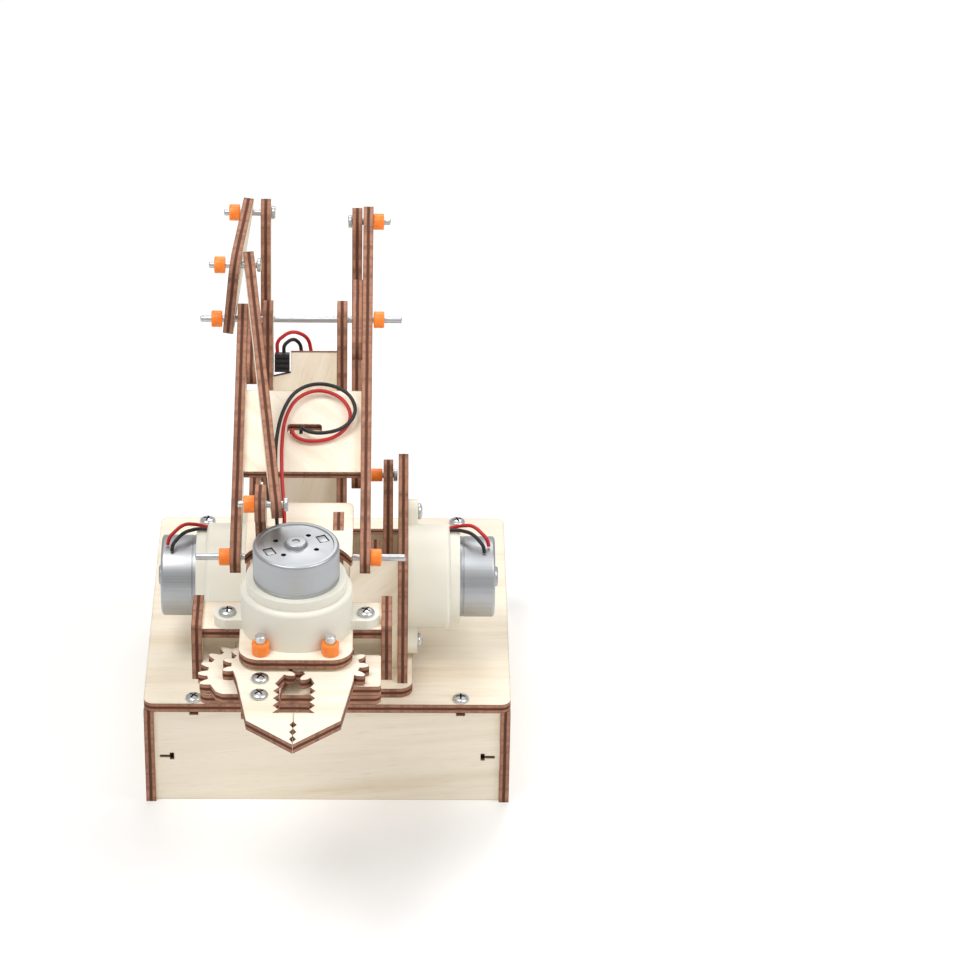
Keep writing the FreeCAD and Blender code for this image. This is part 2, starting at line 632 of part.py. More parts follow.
def hull(points, radius):
    """A convex plate outline: round corners of one radius about each point, counter-clockwise."""
    edges = []
    count = len(points)
    for index, point in enumerate(points):
        following = points[(index + 1) % count]
        before = points[index - 1]
        out, _ = along(point, following)
        into, _ = along(before, point)
        first = V(point[0] + into[1] * radius, point[1] - into[0] * radius, 0)
        last = V(point[0] + out[1] * radius, point[1] - out[0] * radius, 0)
        middle = (first + last) / 2 - V(*point, 0)
        nose = V(*point, 0) + middle.normalize() * radius
        edges.append(Part.Arc(first, nose, last))
        end = V(following[0] + out[1] * radius, following[1] - out[0] * radius, 0)
        edges.append(Part.LineSegment(last, end))
    return edges


lean_start = elbow_point - across * (PLY / 2)
level_outline = hull([(0.0, 0.0), level_rear, level_front], 4.4)
blank = plate("level_blank", level_outline, (), (), LEAN, tuple(lean_start))
keep(bored("level_bored", blank, [ELBOW, LEVEL_FRONT, LEVEL_REAR]), "level_plate")

LINK_TOP_X = (-23.1, -13.6)                # gripper link's middle at its level-plate and lever ends
FRONT_SLEEVE_X = -33.4                     # where the level pins' sleeves start, left of the plate
REAR_SLEEVE_X = -30.2
PIN_PROUD = 1.6                            # a pin's tip beyond its sleeve
group("level_pins", [pin("front_pin", LEVEL_FRONT, FRONT_SLEEVE_X - PIN_PROUD, LINK_TOP_X[0] + 2.2, "right"),
                     pin("rear_pin", LEVEL_REAR, REAR_SLEEVE_X - PIN_PROUD, REAR_LINK_X + PLY / 2 + HEAD_GAP,
                         "right")])
group("level_sleeves", [sleeve("front_sleeve", LEVEL_FRONT, FRONT_SLEEVE_X),
                        sleeve("rear_sleeve", LEVEL_REAR, REAR_SLEEVE_X)])

side_plate("rear_link", bar(COLUMN_PIN, LEVEL_REAR, 4.2), REAR_LINK_X,
           [(*COLUMN_PIN, "pin_hole"), (*LEVEL_REAR, "pin_hole")])

# =========================== forearm ===========================
TAIL_R = size("link_radius")
fore_left = plate("fore_left", bar(WRIST, ELBOW, TAIL_R), [(*WRIST, "pin_radius"), (*ELBOW, "pin_hole")], (),
                  SIDE, (FORE_LEFT_X - PLY / 2, 0, 0))
right_holes = [(*WRIST, "pin_radius"), (*ELBOW, "pin_hole"), (*FORE_TAIL, "pin_radius")]
fore_right = plate("fore_right", bar(WRIST, FORE_TAIL, TAIL_R), right_holes, (), SIDE,
                   (FORE_RIGHT_X - PLY / 2, 0, 0))
group("forearm_plates", [fore_left, fore_right])
# Doublers stiffen both plates on their inner faces around the elbow.
doublers = [plate("left_doubler", bar(step(ELBOW, FORE_DIR, -19.0), ELBOW, 4.0), [(*ELBOW, "pin_hole")], (),
                  SIDE, (FORE_LEFT_X + PLY / 2, 0, 0)),
            plate("right_doubler", bar(step(ELBOW, FORE_DIR, -10.0), step(ELBOW, FORE_DIR, 10.0), 4.0),
                  [(*ELBOW, "pin_hole")], (), SIDE, (FORE_RIGHT_X - PLY * 3 / 2, 0, 0))]
group("forearm_doublers", doublers)

FORE_PANEL = (28.5, 57.5)
FORE_HALF = size("fore_span") / 2 - PLY / 2
FORE_TILT = FreeCAD.Rotation(V(1, 0, 0), V(0, *FORE_DIR), V(0, -FORE_DIR[1], FORE_DIR[0]), "XYZ")
wire_slot = rectangle((-4.5, 42.0), (5.5, 45.4), 0.8)
slits = [snap_slit((side * FORE_HALF, 43.4), -side) for side in (-1, 1)]
keep(plate("fore_panel", rectangle((-FORE_HALF, FORE_PANEL[0]), (FORE_HALF, FORE_PANEL[1])), (),
           slits + [wire_slot], FORE_TILT, (ARM_X, *step(WRIST, FORE_DIR, 0, -PLY / 2))), "forearm_panel")

# The gripper motor's leads come up through the slot, loop over the panel and run down past the
# wrist to the back of the can.
def on_fore(x, place, side):
    """A point across, along from the wrist and above the middle of the forearm's panel."""
    return (x, *step(WRIST, FORE_DIR, place, side))


RED_LOOP = [(-10.3, 43.7, -0.6), (-10.3, 43.7, 2.2), (-9.4, 39.6, 2.9), (-3.8, 38.0, 2.8), (3.6, 40.2, 2.8),
            (7.6, 46.6, 3.0), (4.8, 53.6, 3.4), (-2.4, 56.5, 4.0), (-9.0, 53.2, 4.2), (-12.3, 46.0, 4.0),
            (-13.0, 37.0, 4.2), (-12.8, 28.0, 5.2)]
BLACK_LOOP = [(-7.6, 43.7, -0.6), (-7.6, 43.7, 3.2), (-6.4, 41.0, 4.5), (-1.8, 39.9, 4.5), (5.0, 41.6, 4.6),
              (9.0, 47.6, 4.8), (6.2, 54.8, 5.1), (-2.0, 57.6, 5.8), (-9.4, 54.6, 6.0), (-13.2, 46.6, 5.8),
              (-14.7, 37.0, 5.2), (-14.6, 28.0, 5.4)]
RED_DROP = [(-12.4, -60.5, 118.2), (-11.8, -70.0, 118.7), (-11.4, -76.6, 118.1), (-11.3, -79.0, 115.2),
            (-11.3, -80.1, 114.6)]
BLACK_DROP = [(-14.3, -60.5, 118.4), (-14.0, -70.0, 118.9), (-13.6, -76.8, 118.2), (-13.3, -79.6, 115.2),
              (-13.3, -80.75, 114.5)]
routes = ((RED_LOOP, RED_DROP), (BLACK_LOOP, BLACK_DROP))
group("gripper_motor_leads", [lead(f"gripper_lead{n}", [on_fore(*point) for point in loop] + drop)
                              for n, (loop, drop) in enumerate(routes)])

wrist_rod = cylinder("wrist_bar", "pin_radius", 0, (ARM_X - size("rod_length") / 2, *WRIST), ALONG_X,
                     "rod_length")
TAIL_END = FORE_RIGHT_X + PLY / 2 + size("sleeve_length") + 2.0
tail_pin = pin("tail_pin", FORE_TAIL, DRIVE_X - PLY / 2 - HEAD_GAP, TAIL_END, "left")
group("forearm_pins", [wrist_rod, tail_pin])
group("forearm_sleeves", [sleeve("wrist_left", WRIST, FORE_LEFT_X - PLY / 2 - size("sleeve_length")),
                          sleeve("wrist_right", WRIST, FORE_RIGHT_X + PLY / 2),
                          sleeve("tail_sleeve", FORE_TAIL, FORE_RIGHT_X + PLY / 2)])

# =========================== crank and drive link ===========================
crank_hole = Part.Circle(V(*SHOULDER, 0), V(0, 0, 1), size("shaft_radius"))
side_plate("crank_plate", bar(SHOULDER, CRANK_TOP, 4.8), CRANK_X, [(*CRANK_TOP, "pin_hole")], [[crank_hole]])
keep(cylinder("right_output", "shaft_radius", WALL_X + PLY / 2 - (CRANK_X - PLY / 2),
              (CRANK_X - PLY / 2, *SHOULDER), ALONG_X), "right_motor_shaft")
group("crank_pin", [pin("crank_bolt", CRANK_TOP, DRIVE_X - PLY / 2 - HEAD_GAP,
                        CRANK_X + PLY / 2 + HEAD_GAP, "right")])
spacer_start = DRIVE_X + PLY / 2 + GAP
spacer_length = CRANK_X - PLY / 2 - GAP - spacer_start
spacer_tube = cylinder("crank_spacer_tube", "head_radius", spacer_length, (spacer_start, *CRANK_TOP), ALONG_X)
spacer_bore = cylinder("crank_spacer_bore", "pin_radius", spacer_length, (spacer_start, *CRANK_TOP), ALONG_X)
keep(cut("crank_spacer_cut", spacer_tube, spacer_bore), "crank_pin_spacer")
side_plate("drive_link", bar(CRANK_TOP, FORE_TAIL, 4.2), DRIVE_X,
           [(*CRANK_TOP, "pin_hole"), (*FORE_TAIL, "pin_hole")])

# =========================== gripper link ===========================
# It runs skew from beside the level plate to inside the level lever, bored straight across.
skew = V(LINK_TOP_X[0] - LINK_TOP_X[1], LEVEL_FRONT[0] - LEVER_TOP[0], LEVEL_FRONT[1] - LEVER_TOP[1])
skew_x = V(skew).normalize()
skew_z = V(1, 0, 0) - skew_x * skew_x.x
skew_z = skew_z.normalize()
SKEW = FreeCAD.Rotation(skew_x, skew_z.cross(skew_x), skew_z, "XYZ")
link_start = V(LINK_TOP_X[1], *LEVER_TOP) - skew_z * (PLY / 2)
blank = plate("grip_link_blank", bar((0.0, 0.0), (skew.Length, 0.0), 4.0), (), (), SKEW, tuple(link_start))
keep(bored("grip_link_bored", blank, [LEVER_TOP, LEVEL_FRONT]), "gripper_link")

# =========================== gripper carrier ===========================
MOTOR_PLATE_Z = 89.0
MOTOR_PLATE_TOP = MOTOR_PLATE_Z + PLY
JAW_Z = MOTOR_PLATE_Z - 1.0 - PLY
SECTOR_Z = JAW_Z - PLY
LOWER_Z = SECTOR_Z - 0.4 - PLY
PITCH = size("gear_module") / 2
JAW_R = PITCH * size("jaw_teeth")
MESH = PITCH * (size("sector_teeth") + size("pinion_teeth"))
SHAFT_Y = GRIP_MOTOR_Y + size("shaft_offset")
JAW_Y = SHAFT_Y - math.sqrt(MESH ** 2 - JAW_R ** 2)
LEFT_PIVOT = (GRIP_X - JAW_R, JAW_Y)
RIGHT_PIVOT = (GRIP_X + JAW_R, JAW_Y)
OUTER_X = (-35.9, 17.8)                    # middles of the two outer cheeks
LEFT_IN, RIGHT_IN = (OUTER_X[0] + PLY / 2 - GRIP_X, OUTER_X[1] - PLY / 2 - GRIP_X)

# T-shaped plate: wide under the motor's ears, round-cornered over the jaws, and a tongue behind
# that carries the two wrist cheeks.
WIDE = (-96.0, -82.0)
NOSE_Y = -111.6
NOSE_HALF = 16.0
TONGUE_Y = -58.0
TONGUE = (-22.0 - GRIP_X, 7.0 - GRIP_X)
TAB_Y = (-92.5, -85.5)
right_tab = [(RIGHT_IN, TAB_Y[0]), (RIGHT_IN + PLY, TAB_Y[0]),
             (RIGHT_IN + PLY, TAB_Y[1]), (RIGHT_IN, TAB_Y[1])]
left_tab = [(LEFT_IN, TAB_Y[1]), (LEFT_IN - PLY, TAB_Y[1]), (LEFT_IN - PLY, TAB_Y[0]), (LEFT_IN, TAB_Y[0])]
nose = [(LEFT_IN, WIDE[0]), (-NOSE_HALF, WIDE[0]), (-NOSE_HALF, NOSE_Y, 6.0), (NOSE_HALF, NOSE_Y, 6.0),
        (NOSE_HALF, WIDE[0]), (RIGHT_IN, WIDE[0])]
tongue = [(RIGHT_IN, WIDE[1]), (TONGUE[1], WIDE[1]), (TONGUE[1], TONGUE_Y, 2.0),
          (TONGUE[0], TONGUE_Y, 2.0), (TONGUE[0], WIDE[1]), (LEFT_IN, WIDE[1])]
JAW_PINS = [(side * JAW_R, JAW_Y, "bolt_hole") for side in (-1, 1)]
EAR_HOLES = [(side * size("ear_reach"), GRIP_MOTOR_Y, "screw_radius") for side in (-1, 1)]
CHEEK_FOOT = [rectangle((x - GRIP_X - PLY / 2, -74.0), (x - GRIP_X + PLY / 2, -66.0)) for x in CHEEK_X]
output_ring = Part.Circle(V(0, SHAFT_Y, 0), V(0, 0, 1), size("shaft_radius") + 0.4)
wing_slit = snap_slit((LEFT_IN, WIDE[0] + 1.9), 1)
keep(plate("grip_plate", polygon(nose + right_tab + tongue + left_tab), JAW_PINS + EAR_HOLES,
           [[output_ring]] + CHEEK_FOOT + [wing_slit],
           FLAT, (GRIP_X, 0, MOTOR_PLATE_Z)), "gripper_motor_plate")

LOWER_FRONT = -113.7
LOWER_BACK = -84.0
low_front = [(LEFT_IN, LOWER_FRONT, 2.0), (RIGHT_IN, LOWER_FRONT, 2.0)]
low_back = [(RIGHT_IN, LOWER_BACK), (LEFT_IN, LOWER_BACK)]
keep(plate("grip_floor", polygon(low_front + right_tab + low_back + left_tab), JAW_PINS, (), FLAT,
           (GRIP_X, 0, LOWER_Z)), "gripper_lower_plate")
SPACER = (13.4, -97.9)                     # inner and rear edges of the strip on the lower plate
keep(plate("grip_spacer", rectangle((SPACER[0], LOWER_FRONT), (RIGHT_IN, SPACER[1]), 1.0), (), (), FLAT,
           (GRIP_X, 0, LOWER_Z + PLY)), "gripper_spacer_plate")

outer_cheeks = []
for side, x in enumerate(OUTER_X):
    slots = [rectangle((TAB_Y[0], low), (TAB_Y[1], low + PLY)) for low in (LOWER_Z, MOTOR_PLATE_Z)]
    outer_cheeks.append(plate(f"outer_cheek{side}", rectangle((-97.0, 75.0), (-80.0, 93.4), 1.0), (), slots,
                              SIDE, (x - PLY / 2, 0, 0)))
group("gripper_outer_cheeks", outer_cheeks)

# Wrist cheeks stand on the tongue with a tab below, and hang on the wrist rod.
BRIDGE_Z = 106.3
WRIST_FRONT = -79.0
WRIST_BACK = -60.0
foot = [(-66.0, MOTOR_PLATE_TOP), (WRIST_BACK, MOTOR_PLATE_TOP)]
heel = [(WRIST_FRONT, MOTOR_PLATE_TOP), (-74.0, MOTOR_PLATE_TOP),
        (-74.0, MOTOR_PLATE_Z), (-66.0, MOTOR_PLATE_Z)]
plain_top = [(WRIST_BACK, BRIDGE_Z), (-61.0, BRIDGE_Z), (-61.0, BRIDGE_Z + PLY), (-71.0, BRIDGE_Z + PLY),
             (-71.0, BRIDGE_Z), (WRIST_FRONT, BRIDGE_Z)]
lever_head = (LEVER_TOP[0], LEVER_TOP[1])
lever_top = [(WRIST_BACK, BRIDGE_Z), (-69.0, BRIDGE_Z), (-69.0, BRIDGE_Z + PLY + 1.5, 2.0),
             (lever_head[0] + 4.8, lever_head[1] + 4.4, 3.5), (lever_head[0] - 4.4, lever_head[1] + 4.4, 3.5),
             (lever_head[0] - 4.4, lever_head[1] - 3.4, 2.0), (lever_head[0] - 1.0, lever_head[1] - 4.6),
             (WRIST_FRONT, BRIDGE_Z + 2 * PLY)]
lever_holes = [(*WRIST, "pin_hole"), (*LEVER_TOP, "pin_radius")]
lever_cheek = plate("lever_cheek", polygon(heel + foot + lever_top), lever_holes, (), SIDE,
                    (CHEEK_X[0] - PLY / 2, 0, 0))
plain_cheek = plate("plain_cheek", polygon(heel + foot + plain_top), [(*WRIST, "pin_hole")], (), SIDE,
                    (CHEEK_X[1] - PLY / 2, 0, 0))
group("wrist_cheeks", [lever_cheek, plain_cheek])


def block(name, low, high):
    """A plain box between two corners."""
    item = doc.addObject("Part::Box", name)
    item.Length, item.Width, item.Height = (high[i] - low[i] for i in range(3))
    item.Placement = FreeCAD.Placement(V(*low), FLAT)
    return item


bridge = plate("bridge", rectangle((TONGUE[0] - 0.5, -86.0), (TONGUE[1] + 1.0, -56.0), 2.0), (), (), FLAT,
               (GRIP_X, 0, BRIDGE_Z))
bay = doc.addObject("Part::Cylinder", "bridge_bay")
bay.setExpression("Radius", "Sizes.gearbox_radius + 0.9")
bay.Height = 3 * PLY
bay.Placement = FreeCAD.Placement(V(GRIP_X, GRIP_MOTOR_Y, BRIDGE_Z - PLY), FLAT)
lever_slot = block("bridge_lever_slot", (CHEEK_X[0] - PLY / 2, WRIST_FRONT, BRIDGE_Z - 1),
                   (CHEEK_X[0] + PLY / 2, -69.0, BRIDGE_Z + PLY + 1))
tab_slot = block("bridge_tab_slot", (CHEEK_X[1] - PLY / 2, -71.0, BRIDGE_Z - 1),
                 (CHEEK_X[1] + PLY / 2, -61.0, BRIDGE_Z + PLY + 1))
keep(cut("bridge_cut", bridge, fuse("bridge_openings", [bay, lever_slot, tab_slot])), "wrist_bridge_plate")

grip_box, grip_can, grip_ears = gearmotor("gripper", (GRIP_X, SHAFT_Y, MOTOR_PLATE_TOP), FLAT, 180.0)
keep(grip_box, "gripper_gearbox")
keep(grip_can, "gripper_motor_can")
group("gripper_screws", [screw(f"grip_screw{n}", ear, FLAT, 7.0) for n, ear in enumerate(grip_ears)])

lever_sleeve_x = CHEEK_X[0] - PLY / 2 - size("sleeve_length")
bolts = [pin("lever_bolt", LEVER_TOP, lever_sleeve_x - 1.6, LINK_TOP_X[1] + 2.3, "right")]
rings = [sleeve("lever_ring", LEVER_TOP, lever_sleeve_x)]
for side, (x, y) in enumerate((LEFT_PIVOT, RIGHT_PIVOT)):
    shank = cylinder(f"jaw_shank{side}", "bolt_radius", 21.0, (x, y, LOWER_Z - 1.6), FLAT)
    cap = cylinder(f"jaw_cap{side}", "screw_head", 0, (x, y, LOWER_Z - 1.6), FLAT, "screw_head_height")
    bolts.append(fuse(f"jaw_bolt{side}", [shank, cap]))
    ring = cylinder(f"jaw_ring{side}", "sleeve_radius", 3.6, (x, y, MOTOR_PLATE_TOP), FLAT)
    ring_bore = cylinder(f"jaw_ring_bore{side}", "bolt_radius", 3.6, (x, y, MOTOR_PLATE_TOP), FLAT)
    rings.append(cut(f"jaw_sleeve{side}", ring, ring_bore))
group("gripper_sleeves", rings)

# =========================== jaws and gears ===========================
MESH_ANGLE = math.degrees(math.atan2(SHAFT_Y - JAW_Y, JAW_R))
HALF_TOOTH = 180.0 / size("jaw_teeth")
SEAM = 0.06                                # each jaw stops this far from the middle
TIP_Y = -146.6 - JAW_Y
WINDOW = (-131.5 - JAW_Y, -9.3)
WINDOW_X = JAW_R - 5.4


def jaw_outline(phase, mirror):
    """A gear segment that grows into a pointed half jaw, with a serrated window edge."""
    points = gear_points(size("jaw_teeth"), -50.0, 208.0, phase)
    points += [(-6.6, -7.4), (-3.3, -27.2), (JAW_R - SEAM, TIP_Y)]
    for y in (TIP_Y + 2.6, TIP_Y + 6.0, TIP_Y + 9.4):
        points += [(JAW_R - SEAM, y - 1.4), (JAW_R - SEAM - 0.9, y), (JAW_R - SEAM, y + 1.4)]
    points += [(JAW_R - SEAM, WINDOW[0])]
    steps = 4
    pitch = (WINDOW[1] - WINDOW[0]) / steps
    for tooth in range(steps):
        y = WINDOW[0] + tooth * pitch
        points += [(WINDOW_X - 0.4, y), (WINDOW_X + 1.1, y + pitch / 2)]
    points += [(WINDOW_X, WINDOW[1])]
    if mirror:
        points = [(-x, y) for x, y in reversed(points)]
    return polygon(points)


JAW_SCREWS = [(0.0, -7.3), (0.0, -15.3)]
jaw_pin = (0.0, 0.0, "bolt_hole")
keep(plate("left_claw", jaw_outline(0.0, False), [jaw_pin] + [(x, y, "screw_radius") for x, y in JAW_SCREWS],
           (), FLAT, (*LEFT_PIVOT, JAW_Z)), "left_jaw")
keep(plate("right_claw", jaw_outline(-HALF_TOOTH, True), [jaw_pin], (), FLAT, (*RIGHT_PIVOT, JAW_Z)),
     "right_jaw")

sector = gear_points(size("sector_teeth"), 47.0, 212.0, MESH_ANGLE)
sector += [(-12.4, -9.0), (-10.5, -10.2), (-5.0, -10.2), (-5.0, -18.0), (5.0, -18.0), (6.0, -6.0), (9.0, 3.0)]
keep(plate("sector", polygon(sector), [jaw_pin] + [(x, y, "screw_radius") for x, y in JAW_SCREWS], (), FLAT,
           (*LEFT_PIVOT, SECTOR_Z)), "jaw_sector_gear")
group("jaw_screws", [screw(f"jaw_screw{n}", (LEFT_PIVOT[0] + x, LEFT_PIVOT[1] + y, JAW_Z + PLY), FLAT, 5.6)
                     for n, (x, y) in enumerate(JAW_SCREWS)])
washer_height = JAW_Z - HEAD_GAP - LOWER_Z - PLY
washer_place = (*RIGHT_PIVOT, LOWER_Z + PLY)
washer_tube = cylinder("washer_tube", "head_radius", washer_height, washer_place, FLAT)
washer_bore = cylinder("washer_bore", "bolt_radius", washer_height, washer_place, FLAT)
bolts.append(cut("washer_cut", washer_tube, washer_bore))
group("gripper_bolts", bolts)

pinion_phase = MESH_ANGLE + 180.0 + 180.0 / size("pinion_teeth")
last_tooth = pinion_phase + 360.0 * (1 - 0.5 / size("pinion_teeth"))
pinion_edge = gear_points(size("pinion_teeth"), pinion_phase - 1.0, last_tooth, pinion_phase)
pinion_hole = Part.Circle(V(0, 0, 0), V(0, 0, 1), size("shaft_radius"))
keep(plate("pinion", polygon(pinion_edge), (), [[pinion_hole]], FLAT, (GRIP_X, SHAFT_Y, SECTOR_Z)),
     "gripper_pinion")
keep(cylinder("gripper_output", "shaft_radius", MOTOR_PLATE_TOP - SECTOR_Z,
              (GRIP_X, SHAFT_Y, SECTOR_Z), FLAT), "gripper_motor_shaft")

# =========================== checks and files ===========================
doc.recompute()
failed = [item.Name for item in doc.Objects if "Invalid" in item.State or "Error" in item.State]
if failed:
    raise RuntimeError("failed objects: " + ", ".join(failed))
for piece in pieces:
    shape = piece.Shape
    if shape.isNull() or not shape.isValid():
        raise RuntimeError("bad shape: " + piece.Label)
    solids = len(shape.Solids)
    print(f"{piece.Label}: {solids} solid(s), {shape.Volume:.0f} mm3")
    shape.exportStep(f"parts/{piece.Label}.step")
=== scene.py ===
import json
import math

import bmesh
import bpy
from mathutils import Matrix, Vector


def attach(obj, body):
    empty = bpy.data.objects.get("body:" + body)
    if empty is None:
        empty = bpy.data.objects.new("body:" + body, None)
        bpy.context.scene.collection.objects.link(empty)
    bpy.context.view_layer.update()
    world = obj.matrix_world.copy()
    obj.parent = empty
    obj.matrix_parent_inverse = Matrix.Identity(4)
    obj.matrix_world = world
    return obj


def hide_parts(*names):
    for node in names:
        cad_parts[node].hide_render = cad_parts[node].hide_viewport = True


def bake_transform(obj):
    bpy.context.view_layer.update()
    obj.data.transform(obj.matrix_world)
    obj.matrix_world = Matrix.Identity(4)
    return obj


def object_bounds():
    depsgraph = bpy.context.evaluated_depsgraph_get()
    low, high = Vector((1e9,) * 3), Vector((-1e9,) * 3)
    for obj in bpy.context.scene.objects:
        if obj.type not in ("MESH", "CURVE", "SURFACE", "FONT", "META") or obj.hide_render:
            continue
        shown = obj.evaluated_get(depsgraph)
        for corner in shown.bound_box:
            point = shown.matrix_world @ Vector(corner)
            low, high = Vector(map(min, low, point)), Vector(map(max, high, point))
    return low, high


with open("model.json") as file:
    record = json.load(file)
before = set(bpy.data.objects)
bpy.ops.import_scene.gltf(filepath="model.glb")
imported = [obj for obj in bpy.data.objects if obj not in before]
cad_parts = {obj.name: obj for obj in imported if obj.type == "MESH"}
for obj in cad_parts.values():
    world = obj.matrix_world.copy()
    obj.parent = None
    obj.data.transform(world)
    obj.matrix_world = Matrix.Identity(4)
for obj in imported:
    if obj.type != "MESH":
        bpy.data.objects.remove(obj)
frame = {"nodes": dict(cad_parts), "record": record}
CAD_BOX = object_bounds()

MM = 0.001
PLY = 3 * MM
X, Y, Z = Vector((1, 0, 0)), Vector((0, 1, 0)), Vector((0, 0, 1))


# ---------------------------------------------------------------- camera
CAMERA_PLACE = Vector((19.62, -1037.62, 720.85)) * MM
CAMERA_YAW = math.radians(1.446)           # to the right of straight back
CAMERA_PITCH = math.radians(31.578)        # below level
CAMERA_ROLL = math.radians(1.076)
LENS = 150.0                               # in millimetres, as is the sensor
SENSOR_WIDTH = 36.0
NEAR_LIMIT = 0.05


def make_camera():
    """A long lens in front of the arm, looking down at it, as in a catalogue picture."""
    yaw, pitch, roll = CAMERA_YAW, CAMERA_PITCH, CAMERA_ROLL
    forward = Vector((math.sin(yaw) * math.cos(pitch), math.cos(yaw) * math.cos(pitch), -math.sin(pitch)))
    level = Vector((math.cos(yaw), -math.sin(yaw), 0))
    raised = level.cross(forward)
    right = math.cos(roll) * level + math.sin(roll) * raised
    up = math.cos(roll) * raised - math.sin(roll) * level
    data = bpy.data.cameras.new("camera")
    data.lens = LENS
    data.sensor_width = SENSOR_WIDTH
    data.clip_start = NEAR_LIMIT
    camera = bpy.data.objects.new("camera", data)
    camera.matrix_world = Matrix((right, up, -forward)).transposed().to_4x4()
    camera.matrix_world.translation = CAMERA_PLACE
    bpy.context.scene.collection.objects.link(camera)
    bpy.context.scene.camera = camera


make_camera()


# ---------------------------------------------------------------- node helpers
class Shader:
    """A material's node tree with short calls for the nodes used here."""

    def __init__(self, name):
        self.material = bpy.data.materials.new(name)
        self.material.use_nodes = True
        self.nodes = self.material.node_tree.nodes
        self.links = self.material.node_tree.links
        self.bsdf = self.nodes["Principled BSDF"]
        self.coords = self.nodes.new("ShaderNodeTexCoord")

    def feed(self, socket, value):
        """Links an output to the socket, or sets the socket to a plain value."""
        if isinstance(value, bpy.types.NodeSocket):
            self.links.new(value, socket)
        else:
            socket.default_value = value

    def math(self, operation, *values):
        node = self.nodes.new("ShaderNodeMath")
        node.operation = operation
        for socket, value in zip(node.inputs, values):
            self.feed(socket, value)
        return node.outputs[0]

    def dot(self, a, b):
        node = self.nodes.new("ShaderNodeVectorMath")
        node.operation = "DOT_PRODUCT"
        self.feed(node.inputs[0], a)
        self.feed(node.inputs[1], b)
        return node.outputs["Value"]

    def axes(self, *parts):
        node = self.nodes.new("ShaderNodeCombineXYZ")
        for socket, value in zip(node.inputs, parts):
            self.feed(socket, value)
        return node.outputs[0]

    def stretched(self, along, across, cells, shift):
        """A flat noise space with its own number of cells per metre along and across the grain."""
        first = self.math("MULTIPLY", along, cells[0])
        second = self.math("MULTIPLY", across, cells[1])
        return self.axes(first, second, shift)

    def noise(self, vector, scale, detail=3.0):
        node = self.nodes.new("ShaderNodeTexNoise")
        self.feed(node.inputs["Vector"], vector)
        node.inputs["Scale"].default_value = scale
        node.inputs["Detail"].default_value = detail
        node.inputs["Roughness"].default_value = 0.55
        return node.outputs["Fac"]

    def ramp(self, value, stops):
        node = self.nodes.new("ShaderNodeValToRGB")
        elements = node.color_ramp.elements
        while len(elements) < len(stops):
            elements.new(0.5)
        for element, (place, colour) in zip(elements, stops):
            element.position = place
            element.color = (*colour, 1)
        self.feed(node.inputs["Fac"], value)
        return node.outputs["Color"]

    def mask(self, value, low, high, most):
        """0 below one value, rising to a greatest share above another."""
        return self.ramp(value, [(low, (0, 0, 0)), (high, (most, most, most))])

    def mix(self, factor, a, b):
        node = self.nodes.new("ShaderNodeMix")
        node.data_type = "RGBA"
        self.feed(node.inputs["Factor"], factor)
        self.feed(node.inputs["A"], a if isinstance(a, bpy.types.NodeSocket) else (*a, 1))
        self.feed(node.inputs["B"], b if isinstance(b, bpy.types.NodeSocket) else (*b, 1))
        return node.outputs["Result"]

    def bump(self, height, strength, distance):
        node = self.nodes.new("ShaderNodeBump")
        node.inputs["Strength"].default_value = strength
        node.inputs["Distance"].default_value = distance
        self.feed(node.inputs["Height"], height)
        self.feed(self.bsdf.inputs["Normal"], node.outputs["Normal"])

    def set(self, **values):
        for name, value in values.items():
            self.feed(self.bsdf.inputs[name.replace("_", " ")], value)


# ---------------------------------------------------------------- plywood
BIRCH = ((0.80, 0.685, 0.53), (0.91, 0.825, 0.69), (0.86, 0.765, 0.615))
PORE = (0.60, 0.43, 0.28)
STAIN = (0.50, 0.29, 0.15)
CHAR = (0.105, 0.045, 0.028)
BURNT = (0.42, 0.205, 0.130)
CORE_CHAR = (0.10, 0.032, 0.018)
GRAIN_CELLS = (9.0, 130.0)                 # noise cells per metre, along and across the grain
PORE_CELLS = (120.0, 2600.0)
SCORCH_CELLS = (420.0, 420.0)
WANDER_CELLS = 260.0
WANDER = 0.10                              # how far the layers waver, as a share of the thickness
SHEET_SHIFT = 900                          # takes each sheet to its own stretch of the noise
RIM_RADIUS = 0.25 * MM                     # dark line along each cut edge
RIM_TURN = (0.01, 0.12)                    # turn of the bevelled normal where it starts and is full
RIM_SHARE = 0.85
STAIN_RADIUS = 1.3 * MM                    # smoke stain beside it
STAIN_TURN = (0.02, 0.30)
STAIN_SHARE = 0.30
EDGE_ROUGHNESS = 0.80
FACE_SMOOTHER = 0.22                       # taken off the edge's roughness on a face


def near_edge(shader, radius, turn):
    """1 beside a cut edge and 0 away from it: there a bevelled normal leaves the true one."""
    bevel = shader.nodes.new("ShaderNodeBevel")
    bevel.samples = 4
    bevel.inputs["Radius"].default_value = radius
    geometry = shader.nodes.new("ShaderNodeNewGeometry")
    turned_by = shader.math("SUBTRACT", 1.0, shader.dot(bevel.outputs["Normal"], geometry.outputs["Normal"]))
    node = shader.nodes.new("ShaderNodeMapRange")
    node.inputs["From Min"].default_value, node.inputs["From Max"].default_value = turn
    shader.feed(node.inputs["Value"], turned_by)
    return node.outputs["Result"]


